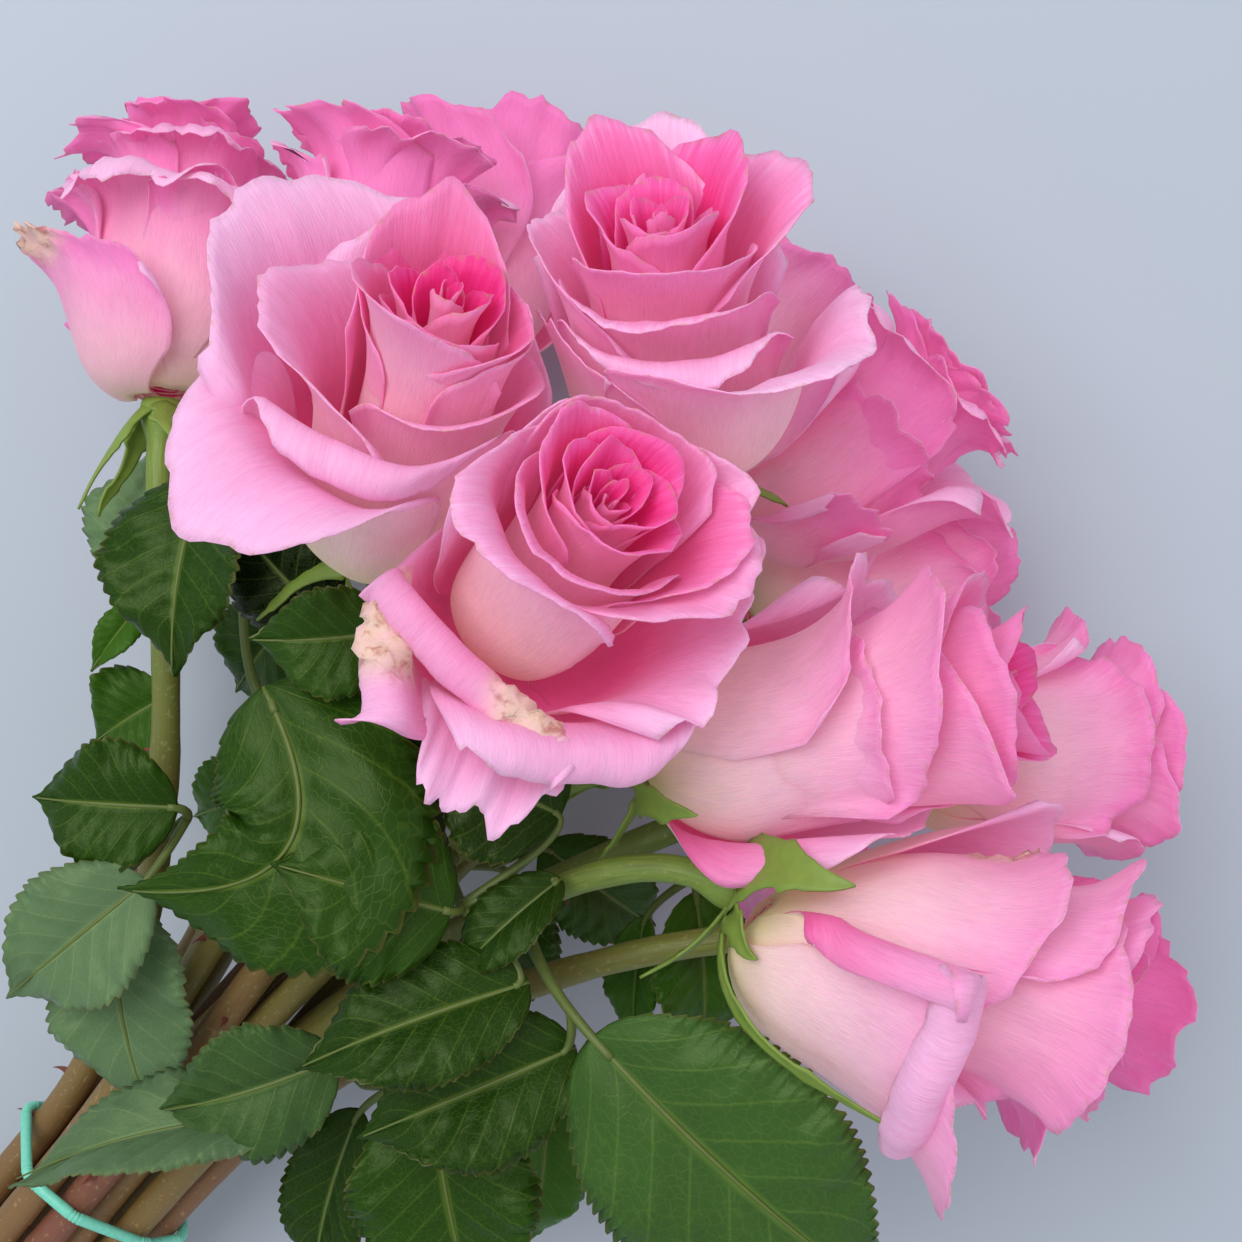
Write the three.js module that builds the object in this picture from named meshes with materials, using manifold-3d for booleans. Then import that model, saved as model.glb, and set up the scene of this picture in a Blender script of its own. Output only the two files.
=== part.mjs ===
// A hand-tied bunch of fifteen large garden roses, lying on its side on a table.
//
// Lengths are millimetres and +Z is up. The bunch is laid out as it is seen from straight above: x to the
// right, y up the picture and z the height over the table. The finished group is then turned about Z, so
// that the stems run along X with the blooms at the +X end, and moved so that its origin is the bottom
// centre of its box.

import * as THREE from 'three';
import { mergeVertices } from 'three/addons/utils/BufferGeometryUtils.js';
import Module from 'manifold-3d';

const wasm = await Module();
wasm.setup();

// ---- driving dimensions -------------------------------------------------------------------------------

const DEGREE = Math.PI / 180;
const GOLDEN_ANGLE = 137.5;

const STEM_RADIUS = 4.4; // woody lower stem
const NECK_RADIUS = 3.2; // green neck under the bloom
const STEM_SIDES = 6;
const STEM_PITCH = 9.6; // spacing of the packed stems under the tie
const HEADING = 50; // degrees from x to y that the stems run in, seen from above
const RISE = 8.8; // degrees that the stems climb from their cut ends to the blooms
const TIE_POINT = new THREE.Vector3(-131, -140, 44.8); // middle of the bundle at its tie
const CUT_LENGTH = 160; // from the tie down to the cut ends
const CUT_STAGGER = 5; // how unevenly the ends are cut

const TIE_RADIUS = 1.3; // elastic cord
const TIE_SIDES = 5;
const CLEARANCE = 0.3; // air between neighbouring pieces
const MERGE_DISTANCE = 1e-3; // corners closer than this become one

const HIP_LENGTH = 11; // swollen green hip under the petals
const HIP_RADIUS = 5.2;
const PETAL_THICKNESS = 0.8;
const HEART_SIDES = 6;
const ROOT_DEPTH = 3; // how far a petal's root is sunk in the heart
const BLADE_THICKNESS = 0.7;
const SEPALS = 5;
const STALK_RADIUS = 1.5; // leaf stalk at its stem
const STALK_SIDES = 3;
const BLADE_FOOT = 0.06; // how far up a leaflet its stalk runs
const PRESS_DEPTH = 9; // how far in from a neighbour, or the table, a bloom starts to give way
const LOWEST_PETAL = -2; // the plane that petals near the table are drawn back from
const LOWEST_LEAF = 0.1;

// Middle of the laid-out bunch's box after the turn, which becomes the origin.
const BOX_MIDDLE = new THREE.Vector3(-129, 8, 0);

// Each rose: the middle of its crown, the way it faces, the length of its head, how far it has opened
// (0 a bud, 1 full blown), the turn of its petals, how many petals its outer, middle and inner layers have
// and its place in the packed bundle (hexagonal steps).
const ROSES = [
  { name: 'a', crown: [-3, 22, 168], faces: [0.35, 0.4, 0.85], head: 60, open: 0.75, turn: 250, petals: [4, 3, 2], slot: [-1, 2] },
  { name: 'b', crown: [-33, 61, 160], faces: [0.25, 0.65, 0.72], head: 68, open: 0.6, turn: 200, petals: [4, 2, 2], slot: [0, 2] },
  { name: 'c', crown: [7, 79, 150], faces: [-0.05, 0.75, 0.66], head: 60, open: 0.6, turn: 330, petals: [4, 2, 2], slot: [0, 1] },
  { name: 'd', crown: [-105, 111, 66], faces: [0.05, 0.98, -0.15], head: 60, open: 0.5, turn: 100, petals: [3, 1, 2], slot: [2, 0] },
  { name: 'e', crown: [-55, 111, 76], faces: [0.1, 0.97, -0.1], head: 58, open: 0.45, turn: 30, petals: [3, 1, 2], slot: [1, 0] },
  { name: 'f', crown: [-24, 123, 30], faces: [0.25, 0.9, -0.28], head: 58, open: 0.4, turn: 75, petals: [3, 1, 2], slot: [2, -2] },
  { name: 'g', crown: [77, 57, 80], faces: [0.78, 0.62, 0.1], head: 60, open: 0.45, turn: 140, petals: [3, 1, 2], slot: [0, 0] },
  { name: 'h', crown: [85, 18, 46], faces: [0.9, 0.38, -0.2], head: 58, open: 0.45, turn: 210, petals: [3, 1, 2], slot: [-1, -1] },
  { name: 'i', crown: [77, -16, 125], faces: [0.93, 0.2, 0.3], head: 76, open: 0.45, turn: 300, petals: [4, 2, 2], slot: [-1, 1] },
  { name: 'j', crown: [126, -29, 68], faces: [0.97, 0.1, -0.2], head: 62, open: 0.5, turn: 20, petals: [3, 1, 2], slot: [-1, 0] },
  { name: 'k', crown: [98, -81, 121], faces: [0.94, -0.3, 0.12], head: 76, open: 0.4, turn: 110, petals: [4, 2, 2], slot: [-2, 1] },
  { name: 'l', crown: [121, -88, 75], faces: [0.97, -0.2, -0.15], head: 62, open: 0.5, turn: 280, petals: [3, 1, 2], slot: [-2, 0] },
  { name: 'm', crown: [45, 90, 45], faces: [0.55, 0.8, -0.2], head: 58, open: 0.5, turn: 160, petals: [3, 1, 2], slot: [1, -1] },
  { name: 'n', crown: [-80, 85, 27], faces: [-0.1, 0.93, -0.28], head: 56, open: 0.4, turn: 60, petals: [3, 1, 2], slot: [2, -1] },
  { name: 'o', crown: [58, -53, 20], faces: [0.85, -0.42, -0.3], head: 58, open: 0.45, turn: 230, petals: [3, 1, 2], slot: [0, -1] },
];

// Compound leaves: the stem each grows from and how far up it (0 at the tie, 1 at the hip), then its
// leaflets, the end one first. A leaflet has its base and tip, the width of its blade, how far its halves
// fold up (fold) and how much it arches over (bend), which way its face leans off straight up, its teeth
// and, where its midrib curves, a point that the midrib passes (via).
const LEAVES = [
  {
    name: 'front_curled',
    stem: 'b',
    at: 0.7,
    leaflets: [
      { base: [-76, -14, 118], via: [-70, -48, 130], tip: [-108, -57, 118], width: 58, teeth: 7 },
      { base: [-71, -15, 104], tip: [-38, -49, 102], width: 34, lean: [-0.2, 0.2] },
      { base: [-48, -2, 122], tip: [-78, -4, 124], width: 24, teeth: 3, lean: [0, -0.3] },
    ],
  },
  {
    name: 'left_low',
    stem: 'd',
    at: 0.42,
    leaflets: [
      { base: [-100, -42, 95], tip: [-134, -40, 92], width: 30 },
      { base: [-106, -58, 98], tip: [-140, -86, 92], width: 28 },
      { base: [-118, -64, 84], tip: [-108, -120, 80], width: 32, fold: 0.1, lean: [-0.3, 0.2] },
    ],
  },
  {
    name: 'left_edge',
    stem: 'k',
    at: 0.22,
    leaflets: [
      { base: [-72, -112, 92], tip: [-139, -127, 94], width: 24, fold: 0.5, lean: [0, 1.2] },
      { base: [-64, -98, 97], tip: [-104, -110, 97], width: 28, lean: [0, -0.2] },
    ],
  },
  {
    name: 'middle',
    stem: 'i',
    at: 0.66,
    leaflets: [
      { base: [-36, -60, 112], tip: [-74, -52, 118], width: 36, teeth: 5, lean: [0.2, 0] },
      { base: [-20, -78, 112], tip: [-70, -96, 115], width: 24, fold: 0.35, lean: [0, 0.5] },
      { base: [-13, -56, 110], tip: [-38, -80, 110], width: 16, teeth: 3, fold: 0.4, lean: [-0.3, 0.4] },
      { base: [-13, -42, 110], tip: [-42, -27, 114], width: 32, teeth: 3 },
    ],
  },
  {
    name: 'right_large',
    stem: 'k',
    at: 0.66,
    leaflets: [
      { base: [-6, -89, 116], tip: [60, -150, 106], width: 56, teeth: 7, fold: 0.15, lean: [0, -0.15] },
      { base: [-10, -93, 108], tip: [-58, -113, 108], width: 34, lean: [0, 0.2] },
    ],
  },
  {
    name: 'bottom',
    stem: 'l',
    at: 0.3,
    leaflets: [
      { base: [-43, -108, 92], tip: [-34, -158, 84], width: 44, teeth: 5, lean: [-0.1, 0] },
      { base: [-62, -116, 74], tip: [-75, -164, 60], width: 24, lean: [-0.4, 0] },
      { base: [-18, -112, 66], tip: [-24, -158, 50], width: 26, teeth: 3, lean: [0.4, 0] },
    ],
  },
  {
    name: 'right_hanging',
    stem: 'j',
    at: 0.72,
    leaflets: [
      { base: [18, -66, 66], tip: [20, -106, 56], width: 28, lean: [0.3, 0] },
      { base: [6, -72, 62], tip: [4, -108, 52], width: 14, teeth: 3, fold: 0.5, lean: [-0.5, 0] },
    ],
  },
  {
    name: 'left_upper',
    stem: 'd',
    at: 0.66,
    leaflets: [
      { base: [-119, 8, 58], tip: [-113, 46, 56], width: 28, teeth: 3, lean: [-0.3, 0] },
      { base: [-116, 4, 66], tip: [-127, -12, 70], width: 10, teeth: 2, fold: 0.5 },
      { base: [-110, -18, 62], tip: [-130, -30, 58], width: 26, teeth: 3, lean: [-0.2, 0] },
    ],
  },
  {
    name: 'under_b',
    stem: 'e',
    at: 0.74,
    leaflets: [
      { base: [-90, 31, 104], tip: [-93, -10, 108], width: 28, lean: [-0.4, 0] },
      { base: [-64, 0, 104], tip: [-86, 24, 104], width: 28, teeth: 3, fold: 0.1, lean: [-0.2, -0.2] },
    ],
  },
  {
    name: 'back_left',
    stem: 'n',
    at: 0.62,
    leaflets: [
      { base: [-100, 42, 46], tip: [-116, 20, 40], width: 24, teeth: 3, lean: [-0.4, 0] },
      { base: [-82, 6, 34], tip: [-106, -20, 10], width: 28, teeth: 3 },
    ],
  },
  {
    name: 'below_left',
    stem: 'n',
    at: 0.36,
    leaflets: [
      { base: [-78, -36, 24], tip: [-98, -72, 5], width: 28, teeth: 3 },
      { base: [-88, -42, 28], tip: [-118, -54, 8], width: 26, teeth: 3 },
    ],
  },
  {
    name: 'below_middle',
    stem: 'o',
    at: 0.5,
    leaflets: [
      { base: [-28, -66, 34], tip: [-34, -108, 8], width: 30, teeth: 3 },
      { base: [-20, -58, 36], tip: [10, -84, 10], width: 28, teeth: 3 },
    ],
  },
  {
    name: 'below_right',
    stem: 'm',
    at: 0.7,
    leaflets: [
      { base: [-14, 4, 28], tip: [-50, 6, 6], width: 28, teeth: 3 },
      { base: [-4, -8, 28], tip: [16, -36, 8], width: 26, teeth: 3 },
    ],
  },
];

// ---- small helpers ------------------------------------------------------------------------------------

const vector = (x, y, z) => new THREE.Vector3(x, y, z);
const smooth = (value, low, high) => THREE.MathUtils.smoothstep(value, low, high);

function seededRandom(seed) {
  let state = seed;
  return () => {
    state = (state * 1664525 + 1013904223) % 4294967296;
    return state / 4294967296;
  };
}

function solidFrom(points, triangles) {
  const vertProperties = new Float32Array(points.flatMap((p) => [p.x, p.y, p.z]));
  const triVerts = new Uint32Array(triangles.flat());
  return new wasm.Manifold(new wasm.Mesh({ numProp: 3, vertProperties, triVerts }));
}

function solidFromGeometry(geometry, distance = 1e-4) {
  const bare = geometry.clone();
  bare.deleteAttribute('normal');
  bare.deleteAttribute('uv');
  const merged = mergeVertices(bare, distance);
  return new wasm.Manifold(
    new wasm.Mesh({
      numProp: 3,
      vertProperties: new Float32Array(merged.attributes.position.array),
      triVerts: new Uint32Array(merged.index.array),
    }),
  );
}

function geometryFrom(solid) {
  const mesh = solid.getMesh();
  const geometry = new THREE.BufferGeometry();
  geometry.setAttribute('position', new THREE.BufferAttribute(mesh.vertProperties, 3));
  geometry.setIndex(new THREE.BufferAttribute(mesh.triVerts, 1));
  geometry.computeVertexNormals();
  return geometry;
}

// Gives an open sheet of triangles its thickness: both faces are split alike and joined round the rim.
function thicken(points, triangles, thickness) {
  const normals = points.map(() => vector(0, 0, 0));
  for (const [a, b, c] of triangles) {
    const across = points[b].clone().sub(points[a]);
    const along = points[c].clone().sub(points[a]);
    const normal = across.cross(along).normalize();
    [a, b, c].forEach((corner) => normals[corner].add(normal));
  }
  const offset = normals.map((normal) => normal.normalize().multiplyScalar(thickness / 2));
  const top = points.map((p, index) => p.clone().add(offset[index]));
  const bottom = points.map((p, index) => p.clone().sub(offset[index]));
  const count = points.length;
  const closed = triangles.map(([a, b, c]) => [a, b, c]);
  closed.push(...triangles.map(([a, b, c]) => [c + count, b + count, a + count]));
  const edges = new Set(triangles.flatMap(([a, b, c]) => [`${a},${b}`, `${b},${c}`, `${c},${a}`]));
  for (const edge of edges) {
    const [a, b] = edge.split(',').map(Number);
    if (edges.has(`${b},${a}`)) continue;
    closed.push([b, a, a + count], [b, a + count, b + count]);
  }
  return solidFrom([...top, ...bottom], closed);
}

// A tube with a rounded section through the given points, closed at both ends.
function tube(points, radii, sides) {
  const rings = [];
  let normal = null;
  points.forEach((point, index) => {
    const before = points[Math.max(index - 1, 0)];
    const after = points[Math.min(index + 1, points.length - 1)];
    const tangent = after.clone().sub(before).normalize();
    const reference = normal ?? (Math.abs(tangent.z) < 0.8 ? vector(0, 0, 1) : vector(1, 0, 0));
    const side = reference.clone().cross(tangent).normalize();
    normal = tangent.clone().cross(side);
    for (let corner = 0; corner < sides; corner += 1) {
      const angle = (corner / sides) * 2 * Math.PI;
      const ring = point.clone();
      ring.addScaledVector(side, radii[index] * Math.cos(angle));
      ring.addScaledVector(normal, radii[index] * Math.sin(angle));
      rings.push(ring);
    }
  });
  const triangles = [];
  const last = (points.length - 1) * sides;
  for (let corner = 0; corner < sides; corner += 1) {
    const next = (corner + 1) % sides;
    for (let row = 0; row < last; row += sides) {
      triangles.push([row + corner, row + next, row + sides + next]);
      triangles.push([row + corner, row + sides + next, row + sides + corner]);
    }
    if (corner > 0 && corner < sides - 1) {
      triangles.push([0, corner + 1, corner]);
      triangles.push([last, last + corner, last + corner + 1]);
    }
  }
  return solidFrom(rings, triangles);
}

// The outer skin of a solid's largest body: loose scraps go, and a hollow that joining has sealed is filled.
function largest(solid) {
  const bodies = solid.decompose();
  return bodies.reduce((best, body) => (body.volume() > best.volume() ? body : best));
}

// Turns a solid from the laid-out view into the bunch's own frame and merges the corners that joining has
// left within a hair of each other. Merging can pinch off a scrap, so it is repeated until none comes off.
function turned(solid) {
  const matrix = new THREE.Matrix4().makeRotationZ(-HEADING * DEGREE);
  matrix.premultiply(new THREE.Matrix4().makeTranslation(...BOX_MIDDLE.clone().negate()));
  let geometry = geometryFrom(solid).applyMatrix4(matrix);
  for (let whole = 0; whole < 2; ) {
    const body = solidFromGeometry(geometry, MERGE_DISTANCE);
    whole = body.decompose().length === 1 ? whole + 1 : 0;
    geometry = geometryFrom(largest(body));
  }
  return geometry;
}

// ---- where each rose stands ---------------------------------------------------------------------------

const ALONG = vector(Math.cos(HEADING * DEGREE), Math.sin(HEADING * DEGREE), 0)
  .multiplyScalar(Math.cos(RISE * DEGREE))
  .setZ(Math.sin(RISE * DEGREE));
const ACROSS = vector(-Math.sin(HEADING * DEGREE), Math.cos(HEADING * DEGREE), 0);
const ABOVE = ALONG.clone().cross(ACROSS);

for (const rose of ROSES) {
  rose.axis = vector(...rose.faces).normalize();
  rose.top = vector(...rose.crown);
  rose.base = rose.top.clone().addScaledVector(rose.axis, -rose.head);
  rose.middle = rose.base.clone().addScaledVector(rose.axis, 0.6 * rose.head);
  rose.girth = rose.head * (0.42 + 0.16 * rose.open);
  const sideways = Math.abs(rose.axis.z) < 0.9 ? vector(0, 0, 1) : vector(1, 0, 0);
  rose.right = rose.axis.clone().cross(sideways).normalize();
  rose.up = rose.axis.clone().cross(rose.right);
  const [column, row] = rose.slot;
  rose.place = ACROSS.clone()
    .multiplyScalar((column + row / 2) * STEM_PITCH)
    .addScaledVector(ABOVE, row * (Math.sqrt(3) / 2) * STEM_PITCH);
}

// A bloom gives way to its neighbours and to the table: beyond PRESS_DEPTH from the plane between them,
// its surface is drawn in ever more strongly and never reaches the plane.
function pressedBack(distance, reach) {
  if (distance < -reach) return distance;
  return -reach * Math.exp(-(distance + reach) / reach);
}

function makeRoom(rose, point) {
  for (const other of ROSES) {
    if (other === rose) continue;
    const between = other.middle.clone().sub(rose.middle);
    const share = rose.girth / (rose.girth + other.girth);
    const plane = rose.middle.clone().addScaledVector(between, share);
    const outward = between.normalize();
    const distance = point.clone().sub(plane).dot(outward) + CLEARANCE + PETAL_THICKNESS / 2;
    point.addScaledVector(outward, pressedBack(distance, PRESS_DEPTH) - distance);
  }
  point.z = LOWEST_PETAL - pressedBack(LOWEST_PETAL - point.z, PRESS_DEPTH);
  return point;
}

// ---- petals -------------------------------------------------------------------------------------------

// A petal's middle line leaves the hip outward, turns up round the cup, leans, flares and rolls over at its
// rim. rank runs from 0 at the heart to 1 at the outermost petal. Angles are from the rose's axis.
function petalForm(rose, rank) {
  const open = rose.open;
  return {
    length: rose.head * (0.88 + 0.2 * rank),
    start: 1.5 + 3.5 * rank,
    cup: 30 + 58 * Math.sqrt(rank),
    cupEnd: 0.24 + 0.28 * rank ** 3,
    lean: -7 + (10 + 8 * open) * rank,
    flare: (20 + 75 * open) * rank * rank,
    roll: 25 + 75 * rank,
    width: rose.head * (0.3 + 0.22 * rank),
    reach: 118 - 50 * rank,
  };
}

function profile(form, along) {
  const steps = 16;
  let radius = form.start;
  let height = 1;
  for (let step = 0; step < steps; step += 1) {
    const s = (along * (step + 0.5)) / steps;
    const cupping = form.cup * Math.max(1 - s / form.cupEnd, 0) ** 1.4;
    const flaring = form.flare * smooth(s, 0.5, 1);
    const rolling = form.roll * smooth(s, 0.84, 1.05);
    const angle = (cupping + form.lean + flaring + rolling) * DEGREE;
    radius += ((form.length * along) / steps) * Math.sin(angle);
    height += ((form.length * along) / steps) * Math.cos(angle);
  }
  return { radius: Math.max(radius, 0.8), height };
}

// A point of a petal: side runs from -1 to 1 across it and along from 0 at the hip to 1 at the rim.
function petalPoint(rose, petal, side, along) {
  const form = petal.form;
  const rim = 1 - 0.17 * Math.abs(side) ** 2.6 + 0.03 * (1 - Math.abs(side)) ** 3;
  const s = along * rim;
  const { radius, height } = profile(form, s);
  const half = form.width * Math.sin(Math.min(s / 0.66, 1) * 90 * DEGREE) ** 0.7;
  const spread = Math.min(half / radius, form.reach * DEGREE * (0.55 + 0.45 * Math.min(s / 0.4, 1)));
  const curl = petal.curl * Math.max(Math.abs(side) - 0.5, 0) ** 2 * s * s * 4;
  const angle = petal.angle * DEGREE + spread * side;
  const sunk = along === petal.rows[0] ? ROOT_DEPTH : 0;
  const reach = Math.max(radius + petal.out * s + curl - sunk, 1);
  const point = rose.base.clone().addScaledVector(rose.axis, height - 0.35 * curl);
  point.addScaledVector(rose.right, reach * Math.cos(angle));
  point.addScaledVector(rose.up, reach * Math.sin(angle));
  return makeRoom(rose, point);
}

function petalSolid(rose, petal, thickness) {
  const columns = petal.columns;
  const rows = petal.rows;
  const points = [];
  for (const along of rows) {
    for (let column = 0; column <= columns; column += 1) {
      points.push(petalPoint(rose, petal, (2 * column) / columns - 1, along));
    }
  }
  const triangles = [];
  const width = columns + 1;
  for (let row = 0; row < rows.length - 1; row += 1) {
    for (let column = 0; column < columns; column += 1) {
      const corner = row * width + column;
      triangles.push([corner, corner + 1, corner + width + 1]);
      triangles.push([corner, corner + width + 1, corner + width]);
    }
  }
  return thicken(points, triangles, thickness);
}

// The petals of a bloom from the outermost in, each a golden angle round from the last.
function petalsOf(rose) {
  const random = seededRandom(rose.turn + 7);
  const [outer, middle, inner] = rose.petals;
  const layers = [
    { count: outer, first: 1, last: 0.78, columns: 4, rows: [0.26, 0.6, 1], curl: 9 },
    { count: middle, first: 0.62, last: 0.46, columns: 3, rows: [0.66, 1], curl: 3 },
    { count: inner, first: 0.32, last: 0.16, columns: 3, rows: [0.72, 1], curl: 0 },
  ];
  const petals = [];
  for (const layer of layers) {
    for (let index = 0; index < layer.count; index += 1) {
      const step = layer.count > 1 ? index / (layer.count - 1) : 0.5;
      const rank = layer.first + (layer.last - layer.first) * step;
      petals.push({
        form: petalForm(rose, rank),
        angle: rose.turn + petals.length * GOLDEN_ANGLE,
        columns: layer.columns,
        rows: layer.rows,
        curl: layer.curl * (0.6 + 0.8 * random()),
        out: 3 * random() * rank,
      });
    }
  }
  return petals;
}

// The furled heart that the petals stand round.
function heartSolid(rose, grow) {
  const outline = [
    [0, 0.3],
    [7, 0.6],
    [16.5, 0.14 * rose.head],
    [18, 0.4 * rose.head],
    [11, 0.68 * rose.head],
    [0, 0.66 * rose.head],
  ];
  const geometry = new THREE.LatheGeometry(
    outline.map(([radius, height]) => new THREE.Vector2(radius && radius + grow, height)),
    HEART_SIDES,
  );
  geometry.rotateX(Math.PI / 2);
  const basis = new THREE.Matrix4().makeBasis(rose.right, rose.up, rose.axis).setPosition(rose.base);
  geometry.applyMatrix4(basis);
  return solidFromGeometry(geometry);
}

function bloomSolid(rose, grow = 0) {
  const parts = petalsOf(rose).map((petal) => petalSolid(rose, petal, PETAL_THICKNESS + 2 * grow));
  return parts.reduce((whole, part) => whole.add(part), heartSolid(rose, grow));
}

// ---- stems, hips and sepals ---------------------------------------------------------------------------

// The middle line of a rose's stem: straight through the tie, then curving out to meet its hip.
function stemLine(rose, part) {
  const tie = TIE_POINT.clone().add(rose.place);
  const hip = rose.base.clone().addScaledVector(rose.axis, -HIP_LENGTH);
  const span = hip.distanceTo(tie);
  const curve = new THREE.CubicBezierCurve3(
    tie,
    tie.clone().addScaledVector(ALONG, 0.42 * span),
    hip.clone().addScaledVector(rose.axis, -0.17 * span),
    hip,
  );
  return curve.getPoint(part);
}

function stemRadius(part) {
  return STEM_RADIUS + (NECK_RADIUS - STEM_RADIUS) * part;
}

function stemSolid(rose, grow = 0) {
  const random = seededRandom(rose.turn);
  const stagger = CUT_STAGGER * (2 * random() - 1);
  const cut = TIE_POINT.clone().add(rose.place).addScaledVector(ALONG, -CUT_LENGTH + stagger);
  const points = [cut];
  const radii = [STEM_RADIUS];
  const steps = 4;
  for (let step = 0; step <= steps; step += 1) {
    points.push(stemLine(rose, step / steps));
    radii.push(stemRadius(step / steps));
  }
  points.push(rose.base.clone().addScaledVector(rose.axis, -0.5 * HIP_LENGTH));
  radii.push(HIP_RADIUS);
  points.push(rose.base.clone());
  radii.push(HIP_RADIUS - 0.7);
  return tube(points, radii.map((radius) => radius + grow), STEM_SIDES);
}

// The calyx: one star-shaped sheet on top of the hip, its five narrow sepals bent back along the stem.
function calyxSolid(rose, grow = 0) {
  const random = seededRandom(rose.turn + 31);
  const points = [rose.base.clone().addScaledVector(rose.axis, -1)];
  const triangles = [];
  const place = (angle, out, down) => {
    const point = rose.base.clone().addScaledVector(rose.axis, -1 - down);
    point.addScaledVector(rose.right, out * Math.cos(angle));
    return points.push(point.addScaledVector(rose.up, out * Math.sin(angle))) - 1;
  };
  const step = (2 * Math.PI) / SEPALS;
  const forks = Array.from({ length: SEPALS }, (_, index) => place((index - 0.5) * step, 6.4, 1.2));
  for (let index = 0; index < SEPALS; index += 1) {
    const length = 24 + 9 * random();
    const bend = (30 + 50 * random()) * DEGREE;
    const out = length * Math.cos(bend);
    const down = length * Math.sin(bend);
    const waist = 0.5 * out + 4;
    const left = place(index * step - 3 / waist, waist, 0.35 * down + 1);
    const right = place(index * step + 3 / waist, waist, 0.35 * down + 1);
    const tip = place(index * step, out + 3, down);
    const [from, to] = [forks[index], forks[(index + 1) % SEPALS]];
    triangles.push([0, from, to], [from, left, to], [left, right, to], [left, tip, right]);
  }
  return thicken(points, triangles, BLADE_THICKNESS + 2 * grow);
}

// ---- leaves -------------------------------------------------------------------------------------------

// A point of a leaflet's blade, so far along its midrib and so far to one side of it. The blade is folded
// along the midrib and arched over along its length.
function leafletPoint(leaflet, along, offset) {
  const base = vector(...leaflet.base);
  const tip = vector(...leaflet.tip);
  const half = base.clone().lerp(tip, 0.5);
  const via = leaflet.via ? vector(...leaflet.via) : half.clone();
  const midrib = new THREE.QuadraticBezierCurve3(base, via.multiplyScalar(2).sub(half), tip);
  const facing = vector(...(leaflet.lean ?? [0, 0]), 1);
  const tangent = midrib.getTangent(along);
  const sideways = tangent.clone().cross(facing).normalize();
  const normal = sideways.clone().cross(tangent);
  const arch = (leaflet.bend ?? 0.1) * midrib.getLength() * 4 * along * (1 - along);
  const point = midrib.getPoint(along).addScaledVector(sideways, offset);
  point.addScaledVector(normal, arch + (leaflet.fold ?? 0.25) * Math.abs(offset));
  point.z = LOWEST_LEAF - pressedBack(LOWEST_LEAF - point.z, PRESS_DEPTH);
  return point;
}

// One leaflet: its midrib, and between it and each edge a strip that is cut into saw teeth.
function leafletSolid(leaflet) {
  const teeth = leaflet.teeth ?? 4;
  const halfWidth = (along) => (leaflet.width / 2) * Math.sin(Math.PI * along ** 0.8) ** 0.8;
  const points = [];
  const add = (along, offset) => points.push(leafletPoint(leaflet, along, offset)) - 1;
  const middle = Array.from({ length: teeth + 1 }, (_, tooth) => add(tooth / teeth, 0));
  const triangles = [];
  for (const side of [-1, 1]) {
    const edge = [middle[0]];
    for (let tooth = 0; tooth < teeth; tooth += 1) {
      const crest = (tooth + 0.72) / teeth;
      const notch = (tooth + 1) / teeth;
      edge.push(add(crest, side * (1.2 + halfWidth(crest))));
      edge.push(tooth === teeth - 1 ? middle[teeth] : add(notch, side * 0.9 * halfWidth(notch)));
    }
    for (let tooth = 0; tooth < teeth; tooth += 1) {
      const [before, crest, after] = edge.slice(2 * tooth, 2 * tooth + 3);
      const cell = [
        [middle[tooth], before, crest],
        [middle[tooth], crest, middle[tooth + 1]],
        [middle[tooth + 1], crest, after],
      ];
      const whole = cell.filter((corners) => new Set(corners).size === 3);
      triangles.push(...whole.map(([a, b, c]) => (side > 0 ? [a, c, b] : [a, b, c])));
    }
  }
  return thicken(points, triangles, BLADE_THICKNESS);
}

// A compound leaf: a thin stalk from its stem to the end leaflet, with a branch to each of the others.
function leafSolid(leaf) {
  const rose = ROSES.find((one) => one.name === leaf.stem);
  const [end, ...others] = leaf.leaflets;
  const foot = leafletPoint(end, BLADE_FOOT, 0);
  const into = leafletPoint(end, 2 * BLADE_FOOT, 0).sub(foot).normalize();
  const stemPoint = stemLine(rose, leaf.at);
  const tangent = stemLine(rose, leaf.at + 0.02).sub(stemPoint).normalize();
  const off = foot.clone().sub(stemPoint);
  off.addScaledVector(tangent, -off.dot(tangent)).normalize();
  const start = stemPoint.clone().addScaledVector(off, 0.8 * stemRadius(leaf.at));
  const reach = start.distanceTo(foot);
  const curve = new THREE.CubicBezierCurve3(
    start,
    start.clone().addScaledVector(off, 0.35 * reach),
    foot.clone().addScaledVector(into, -0.35 * reach),
    foot,
  );
  const radii = [STALK_RADIUS, 0.9 * STALK_RADIUS, 0.8 * STALK_RADIUS, 0.7 * STALK_RADIUS];
  let solid = tube(curve.getPoints(3), radii, STALK_SIDES).add(leafletSolid(end));
  for (const other of others) {
    const fork = curve.getPoint(0.66);
    const branch = [fork, leafletPoint(other, BLADE_FOOT, 0)];
    solid = solid.add(tube(branch, [radii[2], radii[3]], STALK_SIDES)).add(leafletSolid(other));
  }
  return solid;
}

// ---- the tie ------------------------------------------------------------------------------------------

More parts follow.
